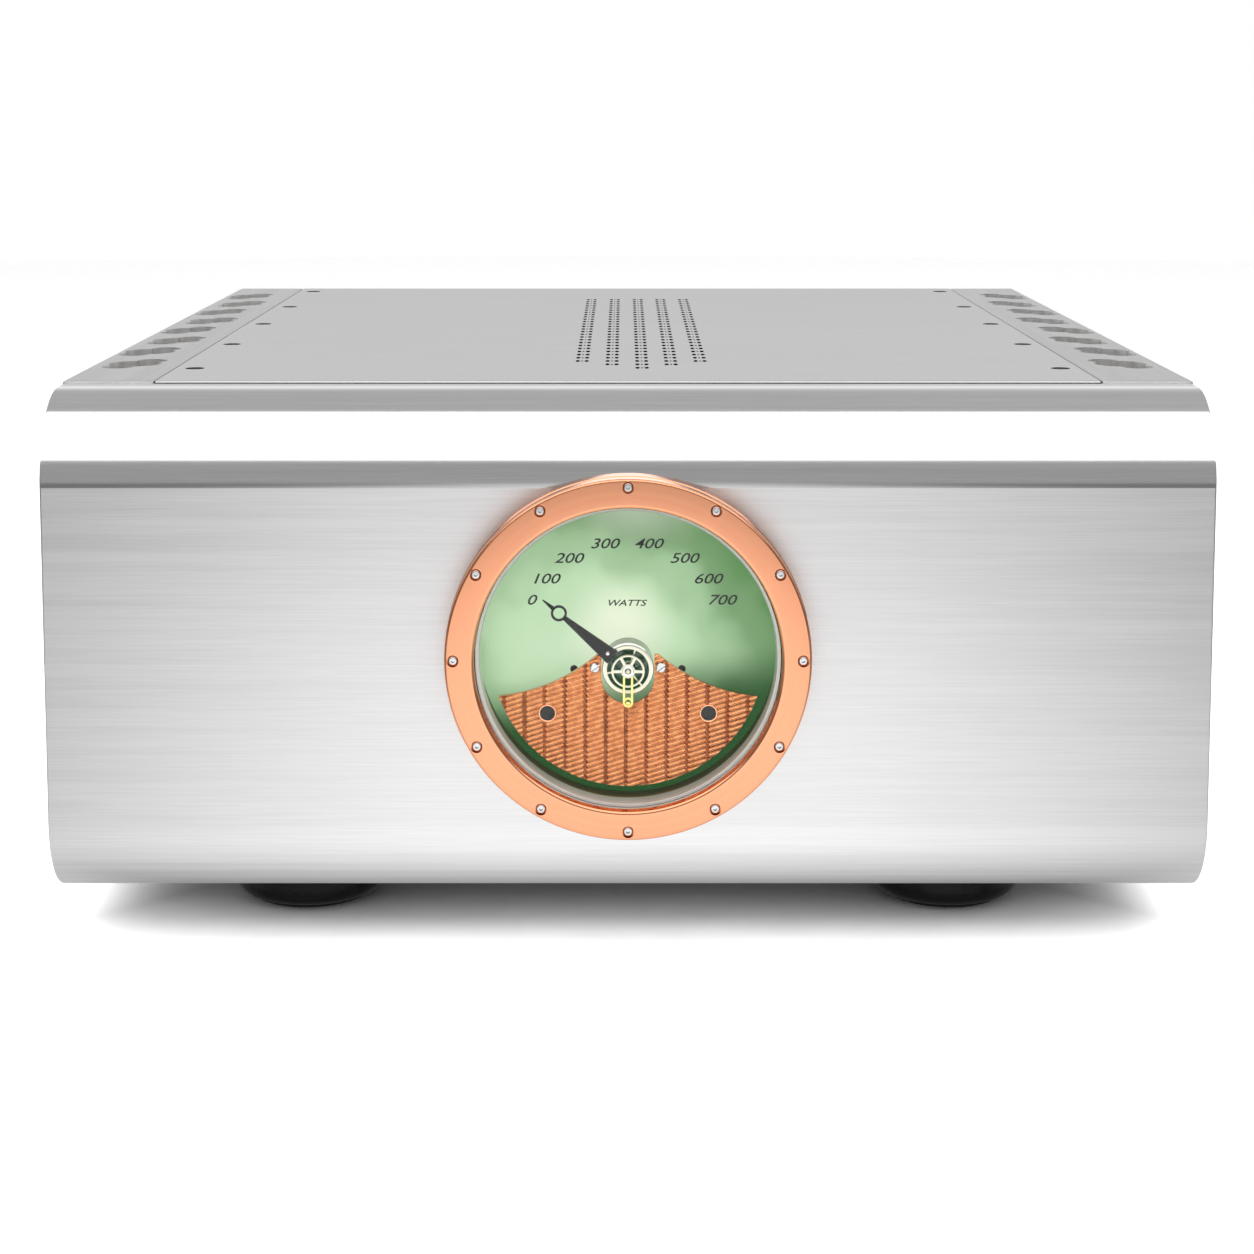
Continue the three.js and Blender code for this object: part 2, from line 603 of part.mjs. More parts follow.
function meter() {
  const hand = mesh("pointer", pointer(), FINISH.pointer);
  hand.rotation.y = -radians(POINTER.restAngle);
  const movement = assembled(
    "movement",
    mesh("movement_barrel", movementBarrel(), FINISH.steel),
    mesh("pointer_arbor", pointerArbor(), FINISH.cream),
    hand,
    mesh("movement_bridge", movementBridge(), FINISH.cream),
  );
  const screws = bezelScrewPlaces().map(([x, z], i) =>
    at(mesh("bezel_screw_" + String(i + 1).padStart(2, "0"), bezelScrew(), FINISH.steel), x, 0, z),
  );
  const whole = assembled(
    "meter",
    mesh("meter_bezel", bezel(), FINISH.copper),
    mesh("meter_glass", meterGlass(), FINISH.glass),
    mesh("glass_retainer", glassRetainer(), FINISH.steel),
    mesh("meter_housing", meterHousing(), FINISH.brass),
    mesh("dial_plate", dialPlate(), FINISH.dial),
    mesh("dial_backlight", dialBacklight(), FINISH.board),
    mesh("sector_plate", sectorPlate(), FINISH.copper),
    at(movement, 0, 0, -METER.pivotDrop),
    ...screws,
  );
  return at(whole, 0, FACE_Y, METER_Z);
}

function bindingPost(place, x) {
  const post = assembled(
    "binding_post_" + place,
    mesh("post_stud_" + place, postStud(), FINISH.gold),
    mesh("post_washer_" + place, postWasher(), FINISH.gold),
    mesh("post_knob_" + place, postKnob(), FINISH.gold),
  );
  return at(post, x, 0, POST.z);
}

function rearSockets() {
  const lever = mesh("toggle_lever", toggleLever(), FINISH.steel);
  lever.rotation.x = -radians(TOGGLE.tilt);
  const rocker = mesh("mains_rocker", mainsRocker(), FINISH.black);
  rocker.rotation.x = -radians(ROCKER.tilt);
  const balancedInput = assembled(
    "balanced_input",
    mesh("xlr_socket", xlrSocket(), FINISH.black),
    mesh("xlr_latch", xlrLatch(), FINISH.steel),
  );
  const inputToggle = assembled("input_toggle", mesh("toggle_bush", toggleBush(), FINISH.steel), lever);
  const mainsModule = assembled(
    "mains_module",
    mesh("mains_inlet", mainsInlet(), FINISH.black),
    at(rocker, 0, -1, ROCKER.z),
  );
  const sockets = assembled(
    "rear_sockets",
    at(balancedInput, XLR.x, 0, XLR.z),
    at(mesh("rca_socket", rcaSocket(), FINISH.gold), RCA.x, 0, RCA.z),
    at(inputToggle, TOGGLE.x, 0, TOGGLE.z),
    at(mainsModule, INLET.x, 0, INLET.z),
    bindingPost("left", -POST.x),
    bindingPost("right", POST.x),
  );
  return at(sockets, 0, REAR_Y, 0);
}

function inside() {
  const floor = BASE_Z + REAR.thickness + GAP;
  const cans = Array.from({ length: CAPACITOR.count }, (_, i) =>
    at(
      mesh("capacitor_" + (i + 1), capacitor(), FINISH.sleeve),
      (i - (CAPACITOR.count - 1) / 2) * CAPACITOR.pitch,
      FACE_Y + CAPACITOR.setback,
      floor,
    ),
  );
  return assembled(
    "inside",
    at(mesh("power_transformer", transformer(), FINISH.varnish), 0, FACE_Y + TRANSFORMER.setback, floor),
    at(mesh("transformer_clamp", transformerClamp(), FINISH.steel), 0, FACE_Y + TRANSFORMER.setback, floor),
    ...cans,
    mesh("output_board_left", outputBoard(-1), FINISH.board),
    mesh("output_board_right", outputBoard(1), FINISH.board),
    mesh("input_board", inputBoard(), FINISH.board),
  );
}

export default assembled("power_amplifier", casing(), meter(), rearSockets(), inside());
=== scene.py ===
"""Visual model of a mono power amplifier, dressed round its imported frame. Sizes are in millimetres."""

import json
import logging
import math
from collections.abc import Callable, Iterator, Sequence
from contextlib import contextmanager
from dataclasses import dataclass, field
from enum import Enum

import bmesh
import bpy
import numpy as np
from mathutils import Matrix, Vector


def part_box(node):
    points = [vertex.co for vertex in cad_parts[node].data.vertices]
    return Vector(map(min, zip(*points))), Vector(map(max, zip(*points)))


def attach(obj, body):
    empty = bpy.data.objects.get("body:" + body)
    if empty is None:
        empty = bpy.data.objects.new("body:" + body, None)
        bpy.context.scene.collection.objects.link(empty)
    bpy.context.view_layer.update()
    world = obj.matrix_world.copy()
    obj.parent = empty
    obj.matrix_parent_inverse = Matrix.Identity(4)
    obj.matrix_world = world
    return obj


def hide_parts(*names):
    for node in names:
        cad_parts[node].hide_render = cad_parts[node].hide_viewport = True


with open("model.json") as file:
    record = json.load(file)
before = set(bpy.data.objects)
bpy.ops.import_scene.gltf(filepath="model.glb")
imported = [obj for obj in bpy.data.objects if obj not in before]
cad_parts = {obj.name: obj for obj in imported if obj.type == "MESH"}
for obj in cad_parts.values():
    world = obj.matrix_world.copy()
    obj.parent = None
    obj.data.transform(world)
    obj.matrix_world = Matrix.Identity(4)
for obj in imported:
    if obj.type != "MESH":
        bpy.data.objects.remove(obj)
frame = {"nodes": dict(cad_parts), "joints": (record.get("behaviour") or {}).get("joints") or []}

logging.basicConfig(level=logging.INFO, format="%(name)s: %(message)s")
log = logging.getLogger("amplifier")

Colour = tuple[float, float, float]
Point = tuple[float, float, float]
Profile = list[tuple[float, float]]
Test = Callable[[Vector, Vector], bool]

MM = 0.001
ROOT = "amplifier"
HAIR = 0.02  # how near, in millimetres, counts as being in a plane


# ---------------------------------------------------------------- where the frame puts things
@dataclass(frozen=True)
class Datum:
    """The planes and centres that the pieces are set out from, in millimetres."""

    face: float
    rear: float
    chassis: float
    base: float
    top: float
    half_width: float
    meter: float
    pivot: float

    @staticmethod
    def read() -> "Datum":
        """Measures the frame.

        Returns:
            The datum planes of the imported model.
        """
        panel_low, panel_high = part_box("front_panel")
        cover_low, cover_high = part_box("top_cover")
        bezel_low, bezel_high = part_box("meter_bezel")
        swing = next(joint for joint in frame["joints"] if joint["name"] == "pointer_swing")
        return Datum(
            face=panel_low.y / MM,
            rear=cover_high.y / MM,
            chassis=cover_low.y / MM,
            base=panel_low.z / MM,
            top=panel_high.z / MM,
            half_width=panel_high.x / MM,
            meter=(bezel_low.z + bezel_high.z) / 2 / MM,
            pivot=swing["pos_m"][2] / MM,
        )


AT = Datum.read()
FORWARDS = (math.pi / 2, 0.0, 0.0)  # the turn that makes an upright piece point to the front
BACKWARDS = (-math.pi / 2, 0.0, 0.0)  # and the one that makes it point to the rear


class Axis(Enum):
    """The way a turned piece's own height points, as the turn from +Z."""

    Z = (0.0, 0.0, 0.0)
    Y = BACKWARDS


class Join(Enum):
    """How one solid is combined with another."""

    CUT = "DIFFERENCE"
    ADD = "UNION"
    KEEP = "INTERSECT"


class Part(Enum):
    """What is picked in edit mode."""

    VERTS = "VERT"
    EDGES = "EDGE"
    FACES = "FACE"


# ---------------------------------------------------------------- modelling
def activate(piece: bpy.types.Object) -> None:
    """Selects one object alone and makes it the active one.

    Args:
        piece: the object to work on.
    """
    bpy.ops.object.select_all(action="DESELECT")
    piece.select_set(True)
    bpy.context.view_layer.objects.active = piece


@contextmanager
def editing(piece: bpy.types.Object) -> Iterator[None]:
    """Opens a mesh in edit mode with nothing selected.

    Args:
        piece: the mesh object.
    """
    activate(piece)
    bpy.ops.object.mode_set(mode="EDIT")
    bpy.ops.mesh.select_all(action="DESELECT")
    yield
    bpy.ops.object.mode_set(mode="OBJECT")


def pick(piece: bpy.types.Object, part: Part, test: Test) -> None:
    """Selects what passes a test, in edit mode.

    Args:
        piece: the mesh being edited.
        part: whether vertices, edges or faces are picked.
        test: takes a place in millimetres, and a normal or an edge's direction.
    """
    bpy.ops.mesh.select_mode(type=part.value)
    bpy.ops.mesh.select_all(action="DESELECT")
    mesh = bmesh.from_edit_mesh(piece.data)
    if part is Part.FACES:
        found = [face for face in mesh.faces if test(face.calc_center_median() / MM, face.normal)]
    elif part is Part.EDGES:
        found = []
        for edge in mesh.edges:
            one, two = (vert.co / MM for vert in edge.verts)
            if test((one + two) / 2, (two - one).normalized()):
                found.append(edge)
    else:
        found = [vert for vert in mesh.verts if test(vert.co / MM, vert.normal)]
    for item in found:
        item.select_set(True)
    mesh.select_flush_mode()
    bmesh.update_edit_mesh(piece.data)


def near(value: float, target: float, within: float = HAIR) -> bool:
    """True if two lengths in millimetres are the same but for rounding."""
    return abs(value - target) < within


def settle(piece: bpy.types.Object) -> None:
    """Moves an object's place, turn and scale into its mesh."""
    activate(piece)
    bpy.ops.object.transform_apply(location=True, rotation=True, scale=True)


def placed(piece: bpy.types.Object, place: Point = (0, 0, 0), turn: Point = (0, 0, 0),
           size: Point = (1, 1, 1)) -> bpy.types.Object:
    """Sizes, turns and moves a piece that is drawn round the origin.

    Args:
        piece: the object.
        place: where its origin goes.
        turn: its turns round x, y and z, in radians.
        size: its scale along x, y and z.

    Returns:
        The piece, with its place in its mesh.
    """
    piece.scale = size
    piece.rotation_euler = turn
    piece.location = Vector(place) * MM
    settle(piece)
    return piece


def named(name: str) -> bpy.types.Object:
    """Names the object just added, and its mesh.

    Args:
        name: the piece's name.

    Returns:
        The object.
    """
    piece = bpy.context.object
    piece.name = name
    piece.data.name = name
    return piece


def block(name: str, low: Point, high: Point) -> bpy.types.Object:
    """A cuboid to start a piece from.

    Args:
        name: the piece's name.
        low: its lowest corner.
        high: its highest corner.

    Returns:
        The object, with its place in its mesh.
    """
    bpy.ops.object.select_all(action="DESELECT")
    middle = [(a + b) / 2 * MM for a, b in zip(low, high)]
    size = [(b - a) * MM for a, b in zip(low, high)]
    bpy.ops.mesh.primitive_cube_add(size=1, location=middle, scale=size)
    piece = named(name)
    settle(piece)
    return piece


def rod(name: str, radius: float, ends: tuple[float, float], centre: Point, axis: Axis,
        sides: int = 48) -> bpy.types.Object:
    """A round bar to start a piece or a cutter from.

    Args:
        name: the piece's name.
        radius: its radius.
        ends: where it starts and ends along its axis, from the centre.
        centre: a point on its axis.
        axis: which way it points.
        sides: how many sides stand for the round.

    Returns:
        The object, with its place in its mesh.
    """
    return turned(name, [(radius, ends[0]), (radius, ends[1])], centre, axis, sides)


def turned(name: str, profile: Profile, centre: Point, axis: Axis = Axis.Z, sides: int = 96,
           hollow: bool = False) -> bpy.types.Object:
    """A turned piece: a circle extruded and resized from point to point of its profile.

    Args:
        name: the piece's name.
        profile: radius and height of each corner, in order.
        centre: where the profile's height 0 lies on the axis.
        axis: which way its height points.
        sides: how many sides stand for the round.
        hollow: whether the profile closes on itself as a ring, or else on the axis.

    Returns:
        The object, with its place in its mesh.
    """
    bpy.ops.object.select_all(action="DESELECT")
    radius, height = profile[0]
    bpy.ops.mesh.primitive_circle_add(
        vertices=sides, radius=radius * MM, fill_type="NOTHING" if hollow else "NGON",
        location=(0, 0, height * MM),
    )
    piece = named(name)
    settle(piece)
    with editing(piece):
        bpy.ops.mesh.select_mode(type="VERT")
        bpy.ops.mesh.select_all(action="SELECT")
        for next_radius, next_height in profile[1:]:
            rise = (next_height - height) * MM
            bpy.ops.mesh.extrude_region_move(TRANSFORM_OT_translate={"value": (0, 0, rise)})
            share = next_radius / radius
            bpy.ops.transform.resize(value=(share, share, 1), center_override=(0, 0, next_height * MM))
            radius, height = next_radius, next_height
        if hollow:
            bpy.ops.mesh.select_mode(type="EDGE")
            bpy.ops.mesh.select_all(action="DESELECT")
            bpy.ops.mesh.select_non_manifold()
            bpy.ops.mesh.bridge_edge_loops()
        bpy.ops.mesh.select_all(action="SELECT")
        bpy.ops.mesh.normals_make_consistent(inside=False)
    return placed(piece, centre, axis.value)


def combine(base: bpy.types.Object, other: bpy.types.Object, how: Join = Join.CUT) -> bpy.types.Object:
    """Cuts, adds or keeps one solid with another, which is used up.

    Args:
        base: the piece that stays.
        other: the piece that is used up.
        how: what is done with it.

    Returns:
        The base piece.
    """
    change = base.modifiers.new("combine", "BOOLEAN")
    change.operation = how.value
    change.object = other
    change.solver = "EXACT"
    activate(base)
    bpy.ops.object.modifier_apply(modifier=change.name)
    bpy.data.objects.remove(other, do_unlink=True)
    return base


def merged(name: str, pieces: Sequence[bpy.types.Object]) -> bpy.types.Object:
    """Joins separate solids that don't touch into one object.

    Args:
        name: the joined object's name.
        pieces: the objects, of which the first is kept.

    Returns:
        The joined object.
    """
    activate(pieces[0])
    for piece in pieces:
        piece.select_set(True)
    bpy.ops.object.join()
    return named(name)


def repeated(piece: bpy.types.Object, count: int, step: Point) -> bpy.types.Object:
    """Repeats a solid in a straight row.

    Args:
        piece: the first of the row.
        count: how many there are.
        step: the way from one to the next.

    Returns:
        The whole row.
    """
    row = piece.modifiers.new("row", "ARRAY")
    row.count = count
    row.use_relative_offset = False
    row.use_constant_offset = True
    row.constant_offset_displace = Vector(step) * MM
    activate(piece)
    bpy.ops.object.modifier_apply(modifier=row.name)
    return piece


def smooth(piece: bpy.types.Object, degrees: float = 32) -> bpy.types.Object:
    """Shades a piece smooth across all but its sharp edges.

    Args:
        piece: the mesh object.
        degrees: the least angle that stays sharp.

    Returns:
        The piece.
    """
    activate(piece)
    bpy.ops.object.shade_smooth_by_angle(angle=math.radians(degrees), keep_sharp_edges=True)
    even = piece.modifiers.new("even", "WEIGHTED_NORMAL")
    even.keep_sharp = True
    bpy.ops.object.modifier_apply(modifier=even.name)
    return piece


def soften(piece: bpy.types.Object, width: float, steps: int = 2, degrees: float = 35) -> bpy.types.Object:
    """Breaks a piece's sharp edges with a small round and shades it.

    Args:
        piece: the mesh object.
        width: the width of the broken edge.
        steps: how many faces make the round.
        degrees: the least angle that is broken.

    Returns:
        The piece.
    """
    edge = piece.modifiers.new("edge", "BEVEL")
    edge.width = width * MM
    edge.segments = steps
    edge.limit_method = "ANGLE"
    edge.angle_limit = math.radians(degrees)
    activate(piece)
    bpy.ops.object.modifier_apply(modifier=edge.name)
    return smooth(piece)


def copied(master: bpy.types.Object, name: str, shift: Point) -> bpy.types.Object:
    """Copies a piece with its own mesh, moved by a distance.

    Args:
        master: the piece to copy.
        name: the copy's name.
        shift: how far it is moved.

    Returns:
        The copy.
    """
    twin = master.copy()
    twin.data = master.data.copy()
    twin.name = name
    twin.data.name = name
    twin.data.transform(Matrix.Translation(Vector(shift) * MM))
    bpy.context.scene.collection.objects.link(twin)
    return twin


def round_corners(piece: bpy.types.Object, width: float, steps: int = 6, above: float = -math.inf) -> None:
    """Rounds a plate's edges that run from front to back.

    Args:
        piece: the plate.
        width: the round's radius.
        steps: how many faces make it.
        above: the height that the edges have to lie above.
    """
    with editing(piece):
        pick(piece, Part.EDGES, lambda at, way: abs(way.y) > 0.9 and at.z > above)
        bpy.ops.mesh.bevel(offset=width * MM, segments=steps, affect="EDGES")


def rounded_copy(node: str, width: float) -> bpy.types.Object:
    """A copy of a node's solid with its corners merged and its edges broken.

    Args:
        node: the node's name.
        width: the width of the broken edge.

    Returns:
        The new piece, named after the node.
    """
    source = frame["nodes"][node]
    piece = source.copy()
    piece.data = source.data.copy()
    piece.name = node + "_finished"
    piece.parent = None
    piece.matrix_world = Matrix.Identity(4)
    bpy.context.scene.collection.objects.link(piece)
    with editing(piece):
        bpy.ops.mesh.select_all(action="SELECT")
        bpy.ops.mesh.remove_doubles(threshold=0.01 * MM)
        bpy.ops.mesh.dissolve_limited(angle_limit=math.radians(1))
    if piece.data.has_custom_normals:
        activate(piece)
        bpy.ops.mesh.customdata_custom_splitnormals_clear()
    return soften(piece, width)


# ---------------------------------------------------------------- finishes
class Grain(Enum):
    """Which way a finish's fine lines run, as how tightly they are drawn along x, y and z."""

    EVEN = (1.0, 1.0, 1.0)
    ALONG_X = (0.012, 1.0, 1.0)
    ALONG_Y = (1.0, 0.012, 1.0)
    ALONG_Z = (1.0, 1.0, 0.02)
    ROUND_METER = (0.0, 0.0, 0.0)


class Wiring:
    """A node tree, with short ways to add the steps that all trees share."""

    def __init__(self, tree: bpy.types.NodeTree) -> None:
        """Starts on a tree."""
        self.tree = tree

    def add(self, kind: str) -> bpy.types.Node:
        """Adds a node of a kind."""
        return self.tree.nodes.new(kind)

    def link(self, source: bpy.types.NodeSocket, target: bpy.types.NodeSocket) -> None:
        """Joins two sockets."""
        self.tree.links.new(source, target)

    def split(self, source: bpy.types.NodeSocket) -> tuple[bpy.types.NodeSocket, ...]:
        """A vector's x, y and z."""
        parts = self.add("ShaderNodeSeparateXYZ")
        self.link(source, parts.inputs[0])
        return tuple(parts.outputs)

    def math(self, how: str, *values: bpy.types.NodeSocket | float) -> bpy.types.NodeSocket:
        """One step of arithmetic.

        Args:
            how: the Math node's operation.
            values: its inputs, as sockets or numbers.

        Returns:
            The result's socket.
        """
        step = self.add("ShaderNodeMath")
        step.operation = how
        for socket, value in zip(step.inputs, values):
            if isinstance(value, (int, float)):
                socket.default_value = value
            else:
                self.link(value, socket)
        return step.outputs[0]

    def remap(self, value: bpy.types.NodeSocket, source: tuple[float, float],
              target: tuple[float, float]) -> bpy.types.NodeSocket:
        """A value moved smoothly from one range to another.

        Args:
            value: the socket to read.
            source: the range it comes from.
            target: the range it goes to.

        Returns:
            The moved value's socket.
        """
        change = self.add("ShaderNodeMapRange")
        change.interpolation_type = "SMOOTHSTEP"
        for name, number in zip(("From Min", "From Max", "To Min", "To Max"), (*source, *target)):
            change.inputs[name].default_value = number
        self.link(value, change.inputs["Value"])
        return change.outputs[0]

    def blend(self, share: bpy.types.NodeSocket, first: bpy.types.NodeSocket | float,
              second: bpy.types.NodeSocket | float) -> bpy.types.NodeSocket:
        """Two numbers mixed.

        Args:
            share: how much of the second there is.
            first: the first number.
            second: the second number.

        Returns:
            The mixed number's socket.
        """
        mix = self.add("ShaderNodeMix")
        for socket, value in zip((mix.inputs[0], mix.inputs[2], mix.inputs[3]), (share, first, second)):
            if isinstance(value, float):
                socket.default_value = value
            else:
                self.link(value, socket)
        return mix.outputs[0]


class Recipe(Wiring):
    """One material's node tree, with short ways to add what the finishes share."""

    def __init__(self, name: str) -> None:
        """Starts a material with a Principled surface.

        Args:
            name: the material's name.
        """
        self.material = bpy.data.materials.new(name)
        self.material.use_nodes = True
        super().__init__(self.material.node_tree)
        self.surface = self.tree.nodes["Principled BSDF"]
        self.place = self.add("ShaderNodeTexCoord").outputs["Object"]

    def set(self, **values: float | tuple[float, ...]) -> None:
        """Sets the surface's own sockets.

        Args:
            values: each socket's name with _ for a space, and its value.
        """
        for name, value in values.items():
            self.surface.inputs[name.replace("_", " ")].default_value = value

    def axes(self) -> tuple[bpy.types.NodeSocket, ...]:
        """The place's x, y and z, in metres."""
        return self.split(self.place)

    def radius(self, x: float, z: float, squeeze: float = 1.0) -> bpy.types.NodeSocket:
        """How far a point is from an axis along y, in metres.

        Args:
            x: the axis's place across, in millimetres.
            z: its height, in millimetres.
            squeeze: how much farther a sideways distance counts.

        Returns:
            The distance's socket.
        """
        place_x, _, place_z = self.axes()
        across = self.math("MULTIPLY", self.math("SUBTRACT", place_x, x * MM), squeeze)
        up = self.math("SUBTRACT", place_z, z * MM)
        return self.math("SQRT", self.math("ADD", self.math("POWER", across, 2), self.math("POWER", up, 2)))

    def noise(self, grain: Grain, scale: float, detail: float = 3.0) -> bpy.types.NodeSocket:
        """Noise drawn out along the grain.

        Args:
            grain: which way the lines run.
            scale: how many features there are in a metre.
            detail: how many finer layers are added.

        Returns:
            A socket from 0 to 1.
        """
        cloud = self.add("ShaderNodeTexNoise")
        cloud.inputs["Scale"].default_value = 1.0
        cloud.inputs["Detail"].default_value = detail
        if grain is Grain.ROUND_METER:
            lines = self.add("ShaderNodeCombineXYZ")
            self.link(self.math("MULTIPLY", self.radius(0, AT.meter), scale), lines.inputs[0])
            self.link(self.math("MULTIPLY", self.axes()[1], scale), lines.inputs[1])
            self.link(lines.outputs[0], cloud.inputs["Vector"])
        else:
            spread = self.add("ShaderNodeMapping")
            spread.inputs["Scale"].default_value = [scale * share for share in grain.value]
            self.link(self.place, spread.inputs["Vector"])
            self.link(spread.outputs[0], cloud.inputs["Vector"])
        return cloud.outputs["Fac"]

    def ramp(self, value: bpy.types.NodeSocket,
             stops: Sequence[tuple[float, Colour]]) -> bpy.types.NodeSocket:
        """A colour read off a row of stops.

        Args:
            value: the socket to read, from 0 to 1.
            stops: each place and its colour.

        Returns:
            The colour's socket.
        """
        band = self.add("ShaderNodeValToRGB")
        band.color_ramp.interpolation = "EASE"
        while len(band.color_ramp.elements) < len(stops):
            band.color_ramp.elements.new(0.5)
        for element, (place, colour) in zip(band.color_ramp.elements, stops):
            element.position = place
            element.color = (*colour, 1.0)
        self.link(value, band.inputs[0])
        return band.outputs[0]

    def mixed(self, share: bpy.types.NodeSocket | float, first: bpy.types.NodeSocket | Colour,
              second: bpy.types.NodeSocket | Colour) -> bpy.types.NodeSocket:
        """Two colours mixed.

        Args:
            share: how much of the second there is.
            first: the first colour.
            second: the second colour.

        Returns:
            The mixed colour's socket.
        """
        mix = self.add("ShaderNodeMix")
        mix.data_type = "RGBA"
        for socket, value in zip((mix.inputs[0], mix.inputs[6], mix.inputs[7]), (share, first, second)):
            if isinstance(value, float):
                socket.default_value = value
            elif isinstance(value, tuple):
                socket.default_value = (*value, 1.0)
            else:
                self.link(value, socket)
        return mix.outputs[2]

    def bump(self, height: bpy.types.NodeSocket, depth: float) -> None:
        """Raises the surface by a height from 0 to 1.

        Args:
            height: the socket to read.
            depth: how high 1 stands, in millimetres.
        """
        relief = self.add("ShaderNodeBump")
        relief.inputs["Strength"].default_value = 1.0
        relief.inputs["Distance"].default_value = depth * MM
        self.link(height, relief.inputs["Height"])
        self.link(relief.outputs[0], self.surface.inputs["Normal"])

    def facing(self, axis: int) -> bpy.types.NodeSocket:
        """How squarely a face looks along an axis, either way.

        Args:
            axis: 0, 1 or 2 for x, y or z.

        Returns:
            A socket from 0 to 1.
        """
        normal = self.add("ShaderNodeNewGeometry").outputs["True Normal"]
        return self.math("ABSOLUTE", self.split(normal)[axis])

    def flat(self, below: float | None) -> bpy.types.NodeSocket:
        """1 on faces that look straight forwards or up, or lie below a height, and 0 on the rest.

        Args:
            below: the height in millimetres, or None for no such height.

        Returns:
            The mask's socket.
        """
        squarely = self.math("MAXIMUM", self.facing(1), self.facing(2))
        mask = self.math("GREATER_THAN", squarely, 0.9999)
        if below is None:
            return mask
        return self.math("MAXIMUM", mask, self.math("LESS_THAN", self.axes()[2], below * MM))


@dataclass(frozen=True)
class Finish:
    """A surface with fine lines or mottle: two tints, a range of gloss and a relief, and a factor on its
    upright faces' colour that paints shade below 1 and light above 1.
    """

    name: str
    slot: str
    dark: Colour
    light: Colour
    gloss: tuple[float, float]
    grain: Grain = Grain.EVEN
    scale: float = 900.0
    depth: float = 0.004
    metal: float = 1.0
    coat: float = 0.0
    polish: float | None = None
    satin_below: float | None = None
    # Scales the light tint on upright faces: below 1 is painted shade, above 1 is painted light.
    painted_wall_light: float = 1.0
    shade: float = 60.0

    def material(self) -> bpy.types.Material:
        """The finish's material, made once.

        Returns:
            The material.
        """
        made = bpy.data.materials.get(self.name)
        return made if made else self.mixed_up()

    def mixed_up(self) -> bpy.types.Material:
        """Makes the finish's material.

        Returns:
            The new material.
        """
        recipe = Recipe(self.name)
        recipe.set(Metallic=self.metal, Coat_Weight=self.coat, Coat_Roughness=0.08)
        lines = recipe.noise(self.grain, self.scale)
        cloud = recipe.noise(self.grain, self.shade * (1 if self.grain is Grain.EVEN else 5), 4.0)
        tint = recipe.math("ADD", recipe.math("MULTIPLY", lines, 0.5), recipe.math("MULTIPLY", cloud, 0.5))
        colour = recipe.mixed(recipe.remap(tint, (0.35, 0.65), (0, 1)), self.dark, self.light)
        # Painted shade and light: upright faces take a darker (below 1) or lighter (above 1) copy of the
        # light tint.
        if self.painted_wall_light != 1.0:
            painted_wall_colour = tuple(min(1.0, part * self.painted_wall_light) for part in self.light)
            colour = recipe.mixed(recipe.math("LESS_THAN", recipe.facing(2), 0.3), colour, painted_wall_colour)
        recipe.link(colour, recipe.surface.inputs["Base Color"])
        rough = recipe.remap(cloud, (0.3, 0.7), self.gloss)
        if self.polish is None:
            recipe.link(rough, recipe.surface.inputs["Roughness"])
            recipe.bump(lines, self.depth)
        else:
            front = recipe.flat(self.satin_below)
            satin = recipe.math("MULTIPLY", rough, front)
            rest = recipe.math("MULTIPLY", recipe.math("SUBTRACT", 1, front), self.polish)
            recipe.link(recipe.math("ADD", satin, rest), recipe.surface.inputs["Roughness"])
            recipe.bump(recipe.math("MULTIPLY", lines, front), self.depth)
        return recipe.material


@dataclass(frozen=True)
class Glass(Finish):
    """Clear flat glass with the faintest dust."""

    def mixed_up(self) -> bpy.types.Material:
        """Makes the glass.

        Returns:
            The new material.
        """
        recipe = Recipe(self.name)
        recipe.set(Metallic=0.0, IOR=1.2, Transmission_Weight=1.0, Base_Color=(*self.light, 1.0))
        recipe.link(recipe.remap(recipe.noise(Grain.EVEN, self.scale), (0.4, 0.8), self.gloss),
                    recipe.surface.inputs["Roughness"])
        return recipe.material


